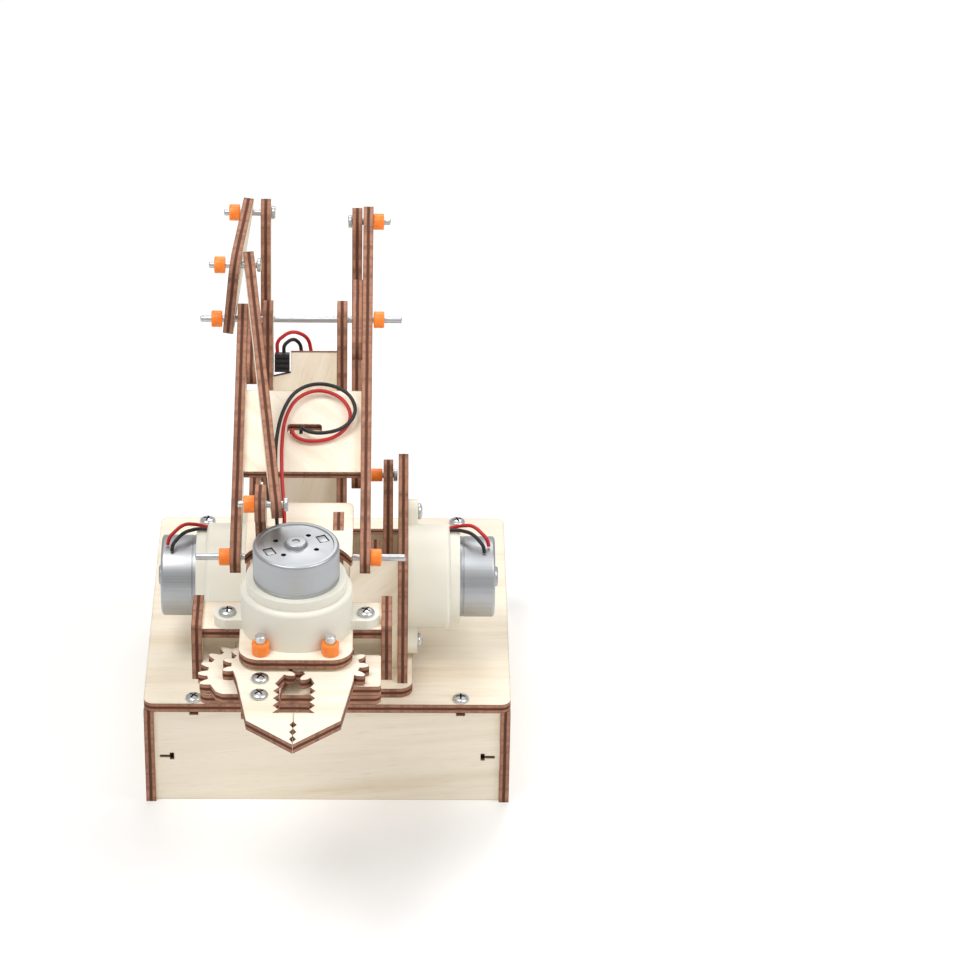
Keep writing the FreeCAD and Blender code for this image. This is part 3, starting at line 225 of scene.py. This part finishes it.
def plywood(name, axis, low, grain):
    """Laser-cut birch plywood: pale grained faces across the axis, burnt three-layer edges along it."""
    s = Shader(name)
    place = s.coords.outputs["Object"]
    facing = s.math("GREATER_THAN", s.math("ABSOLUTE", s.dot(s.coords.outputs["Normal"], axis)), 0.75)
    along = s.dot(place, grain)
    across = s.dot(place, axis.cross(grain))
    depth = s.math("DIVIDE", s.math("SUBTRACT", s.dot(place, axis), low), PLY)

    broad = s.noise(s.stretched(along, across, GRAIN_CELLS, low * SHEET_SHIFT), 1.0, 4.0)
    face = s.ramp(broad, [(0.30, BIRCH[0]), (0.52, BIRCH[1]), (0.75, BIRCH[2])])
    pores = s.noise(s.stretched(along, across, PORE_CELLS, low * SHEET_SHIFT), 1.0, 2.0)
    face = s.mix(s.mask(pores, 0.60, 0.74, 0.34), face, PORE)
    face = s.mix(s.math("MULTIPLY", near_edge(s, STAIN_RADIUS, STAIN_TURN), STAIN_SHARE), face, STAIN)
    face = s.mix(s.math("MULTIPLY", near_edge(s, RIM_RADIUS, RIM_TURN), RIM_SHARE), face, CHAR)

    wander = s.math("MULTIPLY", s.math("SUBTRACT", s.noise(place, WANDER_CELLS), 0.5), WANDER)
    layers = s.ramp(s.math("ADD", depth, wander), [
        (0.00, CHAR), (0.07, BURNT), (0.31, BURNT), (0.38, CHAR), (0.50, CORE_CHAR),
        (0.62, CHAR), (0.69, BURNT), (0.93, BURNT), (1.00, CHAR)])
    scorch = s.noise(s.stretched(along, across, SCORCH_CELLS, 0.0), 1.0)
    edge = s.mix(s.mask(scorch, 0.42, 0.68, 0.55), layers, CHAR)

    s.set(Base_Color=s.mix(facing, edge, face), Specular_IOR_Level=0.28)
    s.set(Roughness=s.math("SUBTRACT", EDGE_ROUGHNESS, s.math("MULTIPLY", facing, FACE_SMOOTHER)))
    s.bump(s.math("ADD", broad, s.math("MULTIPLY", pores, 0.6)), 0.22, 0.12 * MM)
    return s.material


# ---------------------------------------------------------------- plastics, metals and rubber
def moulded(name, colour, roughness=0.42, glow=0.12):
    """Moulded plastic with a faint orange-peel and slight unevenness of colour."""
    s = Shader(name)
    place = s.coords.outputs["Object"]
    shade = tuple(c * 0.93 for c in colour)
    s.set(Base_Color=s.ramp(s.noise(place, 55.0, 2.0), [(0.35, shade), (0.65, colour)]), Roughness=roughness)
    s.set(Subsurface_Weight=glow, Subsurface_Scale=2 * MM, Subsurface_Radius=(1.0, 0.8, 0.6))
    s.bump(s.noise(place, 1400.0, 2.0), 0.10, 0.05 * MM)
    return s.material


def brushed(name, colour, axis, roughness=0.26, streak=0.10):
    """Drawn or turned metal with fine marks across the axis."""
    s = Shader(name)
    place = s.coords.outputs["Object"]
    height = s.dot(place, axis)
    marks = s.noise(s.axes(s.math("MULTIPLY", height, 5200.0), 0.0, 0.0), 1.0, 4.0)
    dull = tuple(c * 0.80 for c in colour)
    s.set(Base_Color=s.ramp(marks, [(0.30, dull), (0.62, colour)]), Metallic=1.0)
    smudge = s.noise(place, 170.0)
    s.set(Roughness=s.math("ADD", roughness - streak / 2, s.math("MULTIPLY", smudge, streak * 2)))
    s.bump(marks, 0.12, 0.03 * MM)
    return s.material


def rubber(name, colour):
    """Soft tube that glows a little where light passes through it, with a dusty surface."""
    s = Shader(name)
    place = s.coords.outputs["Object"]
    pale = tuple(min(1.0, c * 1.15 + 0.02) for c in colour)
    s.set(Base_Color=s.ramp(s.noise(place, 420.0, 2.0), [(0.35, colour), (0.70, pale)]), Roughness=0.38)
    s.set(Subsurface_Weight=0.35, Subsurface_Scale=1.5 * MM, Subsurface_Radius=(1.0, 0.35, 0.10))
    s.bump(s.noise(place, 2100.0, 2.0), 0.15, 0.04 * MM)
    return s.material


ZINC_COLOUR = (0.66, 0.67, 0.68)
TIN_COLOUR = (0.47, 0.485, 0.50)
TIN_ROUGHNESS = 0.40

IVORY = moulded("ivory_plastic", (0.80, 0.775, 0.68))
SHAFT_WHITE = moulded("shaft_plastic", (0.86, 0.84, 0.78), 0.35, 0.05)
BLACK = moulded("black_plastic", (0.018, 0.018, 0.020), 0.45, 0.0)
BOARD = moulded("circuit_board", (0.020, 0.170, 0.075), 0.30, 0.0)
# Painted shade: near-black walls inside the can's vents and brush slots and the screws' cross recesses,
# where only shade darkens the real holes.
HOLE_SHADE = moulded("painted_hole_shade", (0.010, 0.010, 0.011), 0.80, 0.0)
ZINC_X = brushed("zinc_across", ZINC_COLOUR, X)
ZINC_Z = brushed("zinc_upright", ZINC_COLOUR, Z)
TIN_X = brushed("can_across", TIN_COLOUR, X, TIN_ROUGHNESS)
TIN_Z = brushed("can_upright", TIN_COLOUR, Z, TIN_ROUGHNESS)
ORANGE = rubber("orange_tube", (1.0, 0.23, 0.018))
RED_LEAD = moulded("red_insulation", (0.50, 0.008, 0.008), 0.45, 0.05)
BLACK_LEAD = moulded("black_insulation", (0.006, 0.006, 0.007), 0.50, 0.0)

FINISHES = {"motor_plastic": IVORY, "shaft_plastic": SHAFT_WHITE, "black_plastic": BLACK,
            "circuit_board": BOARD, "orange_sleeve": ORANGE, "steel": ZINC_X, "motor_steel": TIN_X}
LEAD_COLOURS = {"shoulder_motor_leads": (BLACK_LEAD, BLACK_LEAD, RED_LEAD, RED_LEAD),
                "upper_arm_leads": (RED_LEAD, BLACK_LEAD), "gripper_motor_leads": (RED_LEAD, BLACK_LEAD)}


# ---------------------------------------------------------------- reading the frame
def islands(node):
    """The separate solids of a CAD node: lists of the face numbers, found by shared corners."""
    mesh = frame["nodes"][node].data
    corners = {}
    names = []
    for vertex in mesh.vertices:
        key = tuple(round(value * 1e5) for value in vertex.co)
        names.append(corners.setdefault(key, len(corners)))
    lead = list(range(len(corners)))

    def root(item):
        while lead[item] != item:
            lead[item] = lead[lead[item]]
            item = lead[item]
        return item

    for face in mesh.polygons:
        first = root(names[face.vertices[0]])
        for vertex in face.vertices[1:]:
            lead[root(names[vertex])] = first
    groups = {}
    for face in mesh.polygons:
        groups.setdefault(root(names[face.vertices[0]]), []).append(face.index)
    return sorted(groups.values(), key=min)


def island_points(node, faces):
    mesh = frame["nodes"][node].data
    return [mesh.vertices[v].co.copy() for v in {v for f in faces for v in mesh.polygons[f].vertices}]


def span(points, axis):
    values = [point.dot(axis) for point in points]
    return min(values), max(values)


def extent(points, axis):
    low, high = span(points, axis)
    return high - low


def middle(points):
    low = Vector([min(point[i] for point in points) for i in range(3)])
    high = Vector([max(point[i] for point in points) for i in range(3)])
    return (low + high) / 2


def foot_of(points, axis):
    """The middle of a round solid's lower end along its axis."""
    centre = middle(points)
    return centre + axis * (span(points, axis)[0] - centre.dot(axis))


def from_axis(point, centre, axis):
    """A point's distance from the line along an axis through a centre."""
    offset = point - centre
    return (offset - axis * offset.dot(axis)).length


def odd_axis(points):
    """Which of X, Y and Z a pin or sleeve lies along: its width there is unlike the other two."""
    widths = [extent(points, way) for way in (X, Y, Z)]
    return max(range(3), key=lambda i: abs(widths[i] - sorted(widths)[1]))


def slot_of(node):
    entries = frame["record"]["subparts"]
    return next(entry["material_slot"] for entry in entries if entry["node"] == node)


def body_of(node):
    bodies = frame["record"]["behaviour"]["bodies"]
    return next(body for body, members in bodies.items() if node in members)


def joint_place(name):
    joints = frame["record"]["behaviour"]["joints"]
    return Vector(next(joint["pos_m"] for joint in joints if joint["name"] == name))


# ---------------------------------------------------------------- finishing the CAD nodes
GRAIN_TURNS = 36                           # directions tried for a sheet's longest way, over half a turn


def paint(node, material):
    data = frame["nodes"][node].data
    data.materials.clear()
    data.materials.append(material)


def paint_islands(node, materials):
    """One material for each solid of a node, in the solids' order."""
    data = frame["nodes"][node].data
    data.materials.clear()
    for number, (faces, material) in enumerate(zip(islands(node), materials)):
        data.materials.append(material)
        for index in faces:
            data.polygons[index].material_index = number


def upward(normal):
    """The normal or its opposite, whichever has its largest part positive."""
    largest = max(range(3), key=lambda i: abs(normal[i]))
    return normal.copy() if normal[largest] > 0 else -normal


def sheet_axes(node, faces):
    """A plate's thickness direction, its lower face along it, and the grain's direction."""
    mesh = frame["nodes"][node].data
    areas = {}
    for index in faces:
        face = mesh.polygons[index]
        normal = upward(face.normal)
        key = tuple(round(value, 2) for value in normal)
        total, sample = areas.get(key, (0.0, normal))
        areas[key] = (total + face.area, sample)
    axis = max(areas.values(), key=lambda entry: entry[0])[1].normalized()
    points = island_points(node, faces)
    one = axis.orthogonal().normalized()
    two = axis.cross(one)
    turns = [step * math.pi / GRAIN_TURNS for step in range(GRAIN_TURNS)]
    ways = [one * math.cos(turn) + two * math.sin(turn) for turn in turns]
    grain = max(ways, key=lambda way: extent(points, way))
    if abs(axis.z) > 0.95 and abs(grain.x) > 0.2:
        grain = X.copy()
    return axis, span(points, axis)[0], grain


def plywood_sheets(node):
    """A plywood material for each of a node's sheets."""
    return [plywood(f"plywood_{node}_{number}", *sheet_axes(node, faces))
            for number, faces in enumerate(islands(node))]


for name in sorted(frame["nodes"]):
    if slot_of(name) == "plywood":
        paint_islands(name, plywood_sheets(name))
    elif name in LEAD_COLOURS:
        paint_islands(name, LEAD_COLOURS[name])
    else:
        paint(name, FINISHES[slot_of(name)])


# ---------------------------------------------------------------- mesh helpers
def add_object(name, data):
    item = bpy.data.objects.new(name, data)
    bpy.context.scene.collection.objects.link(item)
    return item


def add_mesh(name, bm, material):
    mesh = bpy.data.meshes.new(name)
    bm.to_mesh(mesh)
    bm.free()
    mesh.materials.append(material)
    return add_object(name, mesh)


def smooth(piece):
    """Smooth shading, with creases kept where faces meet at more than 32 degrees."""
    mesh = piece.data
    mesh.shade_smooth()
    bm = bmesh.new()
    bm.from_mesh(mesh)
    for edge in bm.edges:
        edge.smooth = edge.is_manifold and edge.calc_face_angle(0.0) < math.radians(32)
    bm.to_mesh(mesh)
    bm.free()


def soften(piece, width):
    """Rounds every edge of a simple mesh."""
    bm = bmesh.new()
    bm.from_mesh(piece.data)
    bmesh.ops.bevel(bm, geom=list(bm.edges), offset=width, segments=2, affect="EDGES", profile=0.6)
    bm.to_mesh(piece.data)
    bm.free()
    smooth(piece)


def turned(name, profile, place, axis, material, segments):
    """A solid of revolution: profile is (radius, height) pairs from the foot to the top."""
    bm = bmesh.new()
    turns = [step * math.tau / segments for step in range(segments)]
    rings = []
    for radius, height in profile:
        if radius > 0:
            rings.append([bm.verts.new((radius * math.cos(turn), radius * math.sin(turn), height))
                          for turn in turns])
        else:
            rings.append([bm.verts.new((0, 0, height))])
    for lower, upper in zip(rings, rings[1:]):
        for step in range(segments):
            after = (step + 1) % segments
            corners = [lower[step % len(lower)], lower[after % len(lower)],
                       upper[after % len(upper)], upper[step % len(upper)]]
            unique = list(dict.fromkeys(corners))
            if len(unique) > 2:
                bm.faces.new(unique)
    bmesh.ops.recalc_face_normals(bm, faces=bm.faces)
    piece = add_mesh(name, bm, material)
    piece.matrix_world = Matrix.Translation(place) @ axis.to_track_quat("Z", "Y").to_matrix().to_4x4()
    smooth(piece)
    return piece


def arc(radius_place, height_place, radius, start, end, steps):
    """Profile points round an arc, angles in degrees from outward to up."""
    turns = [math.radians(start + (end - start) * step / steps) for step in range(steps + 1)]
    return [(radius_place + radius * math.cos(turn), height_place + radius * math.sin(turn))
            for turn in turns]


def box(name, size, matrix, material):
    bm = bmesh.new()
    bmesh.ops.create_cube(bm, size=1.0, matrix=Matrix.Diagonal((*size, 1)))
    piece = add_mesh(name, bm, material)
    piece.matrix_world = matrix
    return piece


def carve(piece, cutters):
    """Cuts the cutters out of the piece, keeping their material inside the cuts."""
    for cutter in cutters:
        modifier = piece.modifiers.new("cut", "BOOLEAN")
        modifier.operation = "DIFFERENCE"
        modifier.solver = "EXACT"
        modifier.material_mode = "TRANSFER"
        modifier.object = cutter
    bpy.context.view_layer.update()
    graph = bpy.context.evaluated_depsgraph_get()
    result = bpy.data.meshes.new_from_object(piece.evaluated_get(graph), depsgraph=graph)
    piece.modifiers.clear()
    piece.data = result
    for cutter in cutters:
        bpy.data.objects.remove(cutter)
    smooth(piece)


def stand_in(pieces, node):
    """Puts the pieces on a node's body and hides the node, whose place they take."""
    for piece in pieces:
        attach(piece, body_of(node))
    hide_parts(node)


# ---------------------------------------------------------------- motor cans
CAN_LIP = 0.9 * MM                         # radius of the rounded rim
CAN_RIM = (1.5 * MM, 1.7 * MM)             # rim's width at its top, and at the sunk end plate
PLATE_SUNK = 0.35 * MM
SEAM_DEPTH = 0.18 * MM
SEAM_HEIGHTS = (0.9 * MM, 1.0 * MM, 1.2 * MM, 1.3 * MM)
BOSS_RADIUS = 3.0 * MM
BOSS_HEIGHT = 0.9 * MM                     # up to where its edge starts to round
BOSS_ROUND = 0.5 * MM
BOSS_FLARE = (1.0 * MM, 0.3 * MM)          # its foot's flare, on the plate and just above
FLARE_HEIGHT = 0.15 * MM
DIMPLE = (1.1 * MM, 1.0 * MM)              # hollow in the boss, at its rim and its floor
DIMPLE_HEIGHTS = (1.4 * MM, 1.0 * MM)
VENT_PLACES = ((-4.3, 4.4), (4.3, -4.4), (5.2, 3.2), (-5.2, -3.2))   # in millimetres
VENT_RADIUS = 0.75 * MM
VENT_DEPTH = 0.9 * MM
BRUSH_REACH = 8.1 * MM                     # can's axis to each brush tab
BRUSH_SLOT = (2.9 * MM, 3.6 * MM, 1.0 * MM)
BRUSH_TAB = (2.3 * MM, 2.9 * MM, 0.3 * MM)
TAB_SUNK = 0.25 * MM
TAB_ROUND = 0.12 * MM
CAN_TURN = math.radians(25)                # of the vents and tabs about the can's axis


def can_profile(radius, length):
    """A seam near the foot, a rounded rim, the sunk end plate and a dimpled bearing boss."""
    seam_start, floor_start, floor_end, seam_end = SEAM_HEIGHTS
    sunk = length - PLATE_SUNK
    profile = [(0, 0), (radius, 0), (radius, seam_start), (radius - SEAM_DEPTH, floor_start),
               (radius - SEAM_DEPTH, floor_end), (radius, seam_end)]
    profile += arc(radius - CAN_LIP, length - CAN_LIP, CAN_LIP, 0, 90, 5)
    profile += [(radius - CAN_RIM[0], length), (radius - CAN_RIM[1], sunk)]
    profile.append((BOSS_RADIUS + BOSS_FLARE[0], sunk))
    profile += [(BOSS_RADIUS + BOSS_FLARE[1], sunk + FLARE_HEIGHT), (BOSS_RADIUS, sunk + BOSS_HEIGHT)]
    profile += arc(BOSS_RADIUS - BOSS_ROUND, sunk + BOSS_HEIGHT, BOSS_ROUND, 0, 90, 4)
    profile += [(DIMPLE[0], sunk + DIMPLE_HEIGHTS[0]), (DIMPLE[1], sunk + DIMPLE_HEIGHTS[1]),
                (0, sunk + DIMPLE_HEIGHTS[1])]
    return profile


def motor_can(name, foot, axis, radius, length, material):
    """A drawn steel can with vents and two brush tabs in slots in its end plate."""
    can = turned(name, can_profile(radius, length), foot, axis, material, 96)
    sunk = length - PLATE_SUNK
    frame_of_can = can.matrix_world @ Matrix.Rotation(CAN_TURN, 4, "Z")
    vent = [(0, -VENT_DEPTH), (VENT_RADIUS, -VENT_DEPTH), (VENT_RADIUS, VENT_DEPTH), (0, VENT_DEPTH)]
    cutters = []
    # The vent and slot cutters leave painted shade, near-black, on the walls inside the cuts.
    for number, (x, y) in enumerate(VENT_PLACES):
        place = frame_of_can @ Matrix.Translation((x * MM, y * MM, sunk))
        cutters.append(turned(f"{name}_vent{number}", vent, place.translation, axis, HOLE_SHADE, 20))
    for number, side in enumerate((-1, 1)):
        place = frame_of_can @ Matrix.Translation((side * BRUSH_REACH, 0, sunk))
        cutters.append(box(f"{name}_slot{number}", BRUSH_SLOT, place, HOLE_SHADE))
    carve(can, cutters)
    for number, side in enumerate((-1, 1)):
        place = frame_of_can @ Matrix.Translation((side * BRUSH_REACH, 0, sunk - TAB_SUNK))
        tab = box(f"{name}_tab{number}", BRUSH_TAB, place, material)
        soften(tab, TAB_ROUND)
        tab.parent = can
        tab.matrix_parent_inverse = can.matrix_world.inverted()
    return can


def replace_cans():
    for node, ways in (("gripper_motor_can", (Z,)), ("base_motor_can", (-Z,)),
                       ("shoulder_motor_cans", (-X, X))):
        found = sorted((island_points(node, faces) for faces in islands(node)), key=lambda p: middle(p).x)
        cans = [motor_can(f"{node}_{number}", foot_of(points, axis), axis, extent(points, Y) / 2,
                          extent(points, axis), TIN_X if abs(axis.x) > 0.5 else TIN_Z)
                for number, (points, axis) in enumerate(zip(found, ways))]
        stand_in(cans, node)


# ---------------------------------------------------------------- screws
SCREW_SHANK = 1.2 * MM
SCREW_TIP = (0.5 * MM, 0.2 * MM)           # tip's radius and height, and below where the taper ends
TAPER_END = 1.4 * MM
HEAD_HEIGHT = 1.5 * MM
HEAD_CHAMFER = (0.15 * MM, 0.2 * MM)       # inward and upward, under the head
HEAD_SIDE = 0.5 * MM                       # height of the head's upright side
HEAD_DOME = 1.0 * MM
DOME_ANGLES = (20, 40, 60, 75)
CROSS_WIDTH = 0.55 * MM
CROSS_DEPTH = 1.5 * MM
CROSS_REACH = 1.15                         # a cross arm's whole length, in head radii
TOP_LAYER = 0.1 * MM                       # points this near a screw's top lie on its head


def hash_of(name):
    """A small number that is always the same for a name."""
    return sum(ord(letter) * (place + 1) for place, letter in enumerate(name))


def screw_piece(name, points, axis, material):
    """A pan-head screw with a cross recess; its head is at the far end of the axis."""
    low, high = span(points, axis)
    tops = [point for point in points if point.dot(axis) > high - TOP_LAYER]
    hub = middle(tops)
    head_radius = max(from_axis(point, hub, axis) for point in tops)
    foot = hub + axis * (low - hub.dot(axis))
    seat = high - low - HEAD_HEIGHT
    profile = [(0, 0), SCREW_TIP, (SCREW_SHANK, TAPER_END), (SCREW_SHANK, seat)]
    profile += [(head_radius - HEAD_CHAMFER[0], seat), (head_radius, seat + HEAD_CHAMFER[1])]
    profile.append((head_radius, seat + HEAD_SIDE))
    profile += [(head_radius * math.cos(turn), seat + HEAD_SIDE + HEAD_DOME * math.sin(turn))
                for turn in map(math.radians, DOME_ANGLES)]
    profile.append((0, seat + HEAD_HEIGHT))
    piece = turned(name, profile, foot, axis, material, 32)
    lean = math.radians(37 * (hash_of(name) % 5))
    top = piece.matrix_world @ Matrix.Translation((0, 0, seat + HEAD_HEIGHT))
    cutters = []
    # The cross cutters leave painted shade, near-black, on the recess walls.
    for number in range(2):
        place = top @ Matrix.Rotation(lean + number * math.pi / 2, 4, "Z")
        size = (head_radius * CROSS_REACH, CROSS_WIDTH, CROSS_DEPTH)
        cutters.append(box(f"{name}_cross{number}", size, place, HOLE_SHADE))
    carve(piece, cutters)
    return piece


def replace_screws():
    for node, axis, material in (("base_screws", Z, ZINC_Z), ("gripper_screws", Z, ZINC_Z),
                                 ("jaw_screws", Z, ZINC_Z), ("shoulder_screws", X, ZINC_X)):
        pieces = []
        for number, faces in enumerate(islands(node)):
            points = island_points(node, faces)
            way = axis if axis is Z or middle(points).x > 0 else -X
            pieces.append(screw_piece(f"{node}_{number}", points, way, material))
        stand_in(pieces, node)


# ---------------------------------------------------------------- sleeves
SLEEVE_ROUND = 0.35 * MM
SLEEVE_WAIST = 0.985                       # radius at the middle, as a share of the full one


def sleeve_piece(name, points, axis):
    """A cut length of soft tube, its ends a little rounded, round a pin."""
    centre = middle(points)
    radii = [from_axis(point, centre, axis) for point in points]
    radius, bore = max(radii), min(radii)
    length = extent(points, axis)
    soft = SLEEVE_ROUND
    profile = [(bore, 0), (radius - soft, 0)] + arc(radius - soft, soft, soft, -90, 0, 4)
    profile.append((radius * SLEEVE_WAIST, length / 2))
    profile += arc(radius - soft, length - soft, soft, 0, 90, 4) + [(bore, length), (bore, 0)]
    return turned(name, profile, foot_of(points, axis), axis, ORANGE, 40)


def replace_sleeves():
    for node in ("column_pin_sleeve", "elbow_sleeves", "level_sleeves", "forearm_sleeves",
                 "gripper_sleeves"):
        pieces = []
        for number, faces in enumerate(islands(node)):
            points = island_points(node, faces)
            pieces.append(sleeve_piece(f"{node}_{number}", points, (X, Y, Z)[odd_axis(points)]))
        stand_in(pieces, node)


# ---------------------------------------------------------------- pins, rods and bolts
PIN_CHAMFER = 0.25                         # in millimetres, as the outline's heights and radii are


def pin_piece(name, points, axis, material):
    """A turned pin: every step of the CAD solid's outline, with small chamfers at its ends."""
    centre = middle(points)
    low, _ = span(points, axis)
    radii = {}
    for point in points:
        height = round((point.dot(axis) - low) / MM, 2)
        radii.setdefault(height, set()).add(round(from_axis(point, centre, axis) / MM, 1))
    heights = sorted(radii)
    profile = [(0, 0)]
    for lower, upper in zip(heights, heights[1:]):
        radius = max(radii[lower] & radii[upper] or radii[lower] | radii[upper])
        edge = min(PIN_CHAMFER, (upper - lower) / 3)
        profile += [(r * MM, h * MM) for r, h in ((radius - edge, lower), (radius, lower + edge),
                                                  (radius, upper - edge), (radius - edge, upper))]
    profile.append((0, heights[-1] * MM))
    return turned(name, profile, foot_of(points, axis), axis, material, 40)


def replace_pins():
    for node in ("column_pins", "forearm_pins", "elbow_rod", "level_pins", "crank_pin", "gripper_bolts"):
        pieces = []
        for number, faces in enumerate(islands(node)):
            points = island_points(node, faces)
            odd = odd_axis(points)
            material = ZINC_Z if odd == 2 else ZINC_X
            pieces.append(pin_piece(f"{node}_{number}", points, (X, Y, Z)[odd], material))
        stand_in(pieces, node)


# ---------------------------------------------------------------- gripper motor's leads
LEAD_RADIUS = 0.55 * MM
RED_LOOP = [(-10.3, 43.7, -0.6), (-10.3, 43.7, 2.2), (-9.4, 39.6, 2.9), (-3.8, 38.0, 2.8), (3.6, 40.2, 2.8),
            (7.6, 46.6, 3.0), (4.8, 53.6, 3.4), (-2.4, 56.5, 4.0), (-9.0, 53.2, 4.2), (-12.3, 46.0, 4.0),
            (-13.0, 37.0, 4.2), (-12.8, 28.0, 5.2)]
BLACK_LOOP = [(-7.6, 43.7, -0.6), (-7.6, 43.7, 3.2), (-6.4, 41.0, 4.5), (-1.8, 39.9, 4.5), (5.0, 41.6, 4.6),
              (9.0, 47.6, 4.8), (6.2, 54.8, 5.1), (-2.0, 57.6, 5.8), (-9.4, 54.6, 6.0), (-13.2, 46.6, 5.8),
              (-14.7, 37.0, 5.2), (-14.6, 28.0, 5.4)]
RED_DROP = [(-12.4, -60.5, 118.2), (-11.8, -70.0, 118.7), (-11.4, -76.6, 118.1), (-11.3, -79.0, 115.2),
            (-11.3, -80.1, 114.6)]
BLACK_DROP = [(-14.3, -60.5, 118.4), (-14.0, -70.0, 118.9), (-13.6, -76.8, 118.2), (-13.3, -79.6, 115.2),
              (-13.3, -80.75, 114.5)]
RED_LENGTH = 0.103
BLACK_LENGTH = 0.105


def lead_route(loop, drop):
    """The loop's points are across, along and above the forearm's panel; the drop's are in the frame."""
    wrist = joint_place("wrist")
    along = (joint_place("elbow") - wrist).normalized()
    above = X.cross(along)
    points = [Vector((x * MM, wrist.y, wrist.z)) + along * (place * MM) + above * (side * MM)
              for x, place, side in loop]
    return points + [Vector(point) * MM for point in drop]


def soft_lead(name, points, material):
    """A lead's mesh tube along a smooth spline, and the spline's own line."""
    curve = bpy.data.curves.new(name, "CURVE")
    curve.dimensions = "3D"
    curve.resolution_u = 10
    spline = curve.splines.new("NURBS")
    spline.points.add(len(points) - 1)
    for control, point in zip(spline.points, points):
        control.co = (*point, 1)
    spline.order_u = 3
    spline.use_endpoint_u = True
    route = add_object(f"{name}_route", curve)
    path = [tuple(vertex.co) for vertex in bpy.data.meshes.new_from_object(route).vertices]
    curve.bevel_depth = LEAD_RADIUS
    curve.bevel_resolution = 4
    curve.use_fill_caps = True
    bpy.context.view_layer.update()
    graph = bpy.context.evaluated_depsgraph_get()
    mesh = bpy.data.meshes.new_from_object(route.evaluated_get(graph))
    bpy.data.objects.remove(route)
    mesh.materials.clear()
    mesh.materials.append(material)
    tube = add_object(name, mesh)
    smooth(tube)
    return tube, path


def replace_gripper_leads():
    """The two leads run from the forearm across the wrist to the gripper, drawn as fixed tubes on no body.
    """
    for name, loop, drop, material, length in (
            ("red_gripper_lead", RED_LOOP, RED_DROP, RED_LEAD, RED_LENGTH),
            ("black_gripper_lead", BLACK_LOOP, BLACK_DROP, BLACK_LEAD, BLACK_LENGTH)):
        tube, path = soft_lead(name, lead_route(loop, drop), material)
        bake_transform(tube)
    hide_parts("gripper_motor_leads")


replace_cans()
replace_gripper_leads()
replace_screws()
replace_sleeves()
replace_pins()


# ---------------------------------------------------------------- stage and light
FLOOR_SIZE = 6.0
FLOOR_SHADES = ((0.90, 0.90, 0.90), (0.93, 0.93, 0.93))
SKY = (1.0, 0.995, 0.985, 1)
SKY_STRENGTH = 0.52


def make_stage():
    bpy.ops.mesh.primitive_plane_add(size=FLOOR_SIZE, location=(0, 0, CAD_BOX[0].z))
    floor = bpy.context.object
    floor.name = "floor"
    s = Shader("floor")
    cloud = s.noise(s.coords.outputs["Object"], 3.0)
    s.set(Base_Color=s.ramp(cloud, [(0.3, FLOOR_SHADES[0]), (0.7, FLOOR_SHADES[1])]), Roughness=0.6)
    floor.data.materials.append(s.material)


def area(name, place, target, width, power):
    """A round soft lamp that faces the target."""
    data = bpy.data.lights.new(name, "AREA")
    data.shape = "DISK"
    data.size = width
    data.energy = power
    way = (Vector(target) - Vector(place)).normalized()
    light = add_object(name, data)
    light.matrix_world = Matrix.Translation(place) @ way.to_track_quat("-Z", "Y").to_matrix().to_4x4()


def make_light():
    world = bpy.data.worlds.new("studio")
    bpy.context.scene.world = world
    world.use_nodes = True
    sky = world.node_tree.nodes["Background"]
    sky.inputs["Color"].default_value = SKY
    sky.inputs["Strength"].default_value = SKY_STRENGTH
    centre = (CAD_BOX[0] + CAD_BOX[1]) / 2
    area("key", (-0.35, -0.30, 1.20), centre, 0.55, 7.0)
    area("fill", (0.65, -0.35, 0.95), centre, 0.70, 5.0)
    area("back", (0.15, 0.75, 1.00), centre, 0.60, 3.5)
    bpy.context.scene.view_settings.view_transform = "Standard"


make_stage()
make_light()
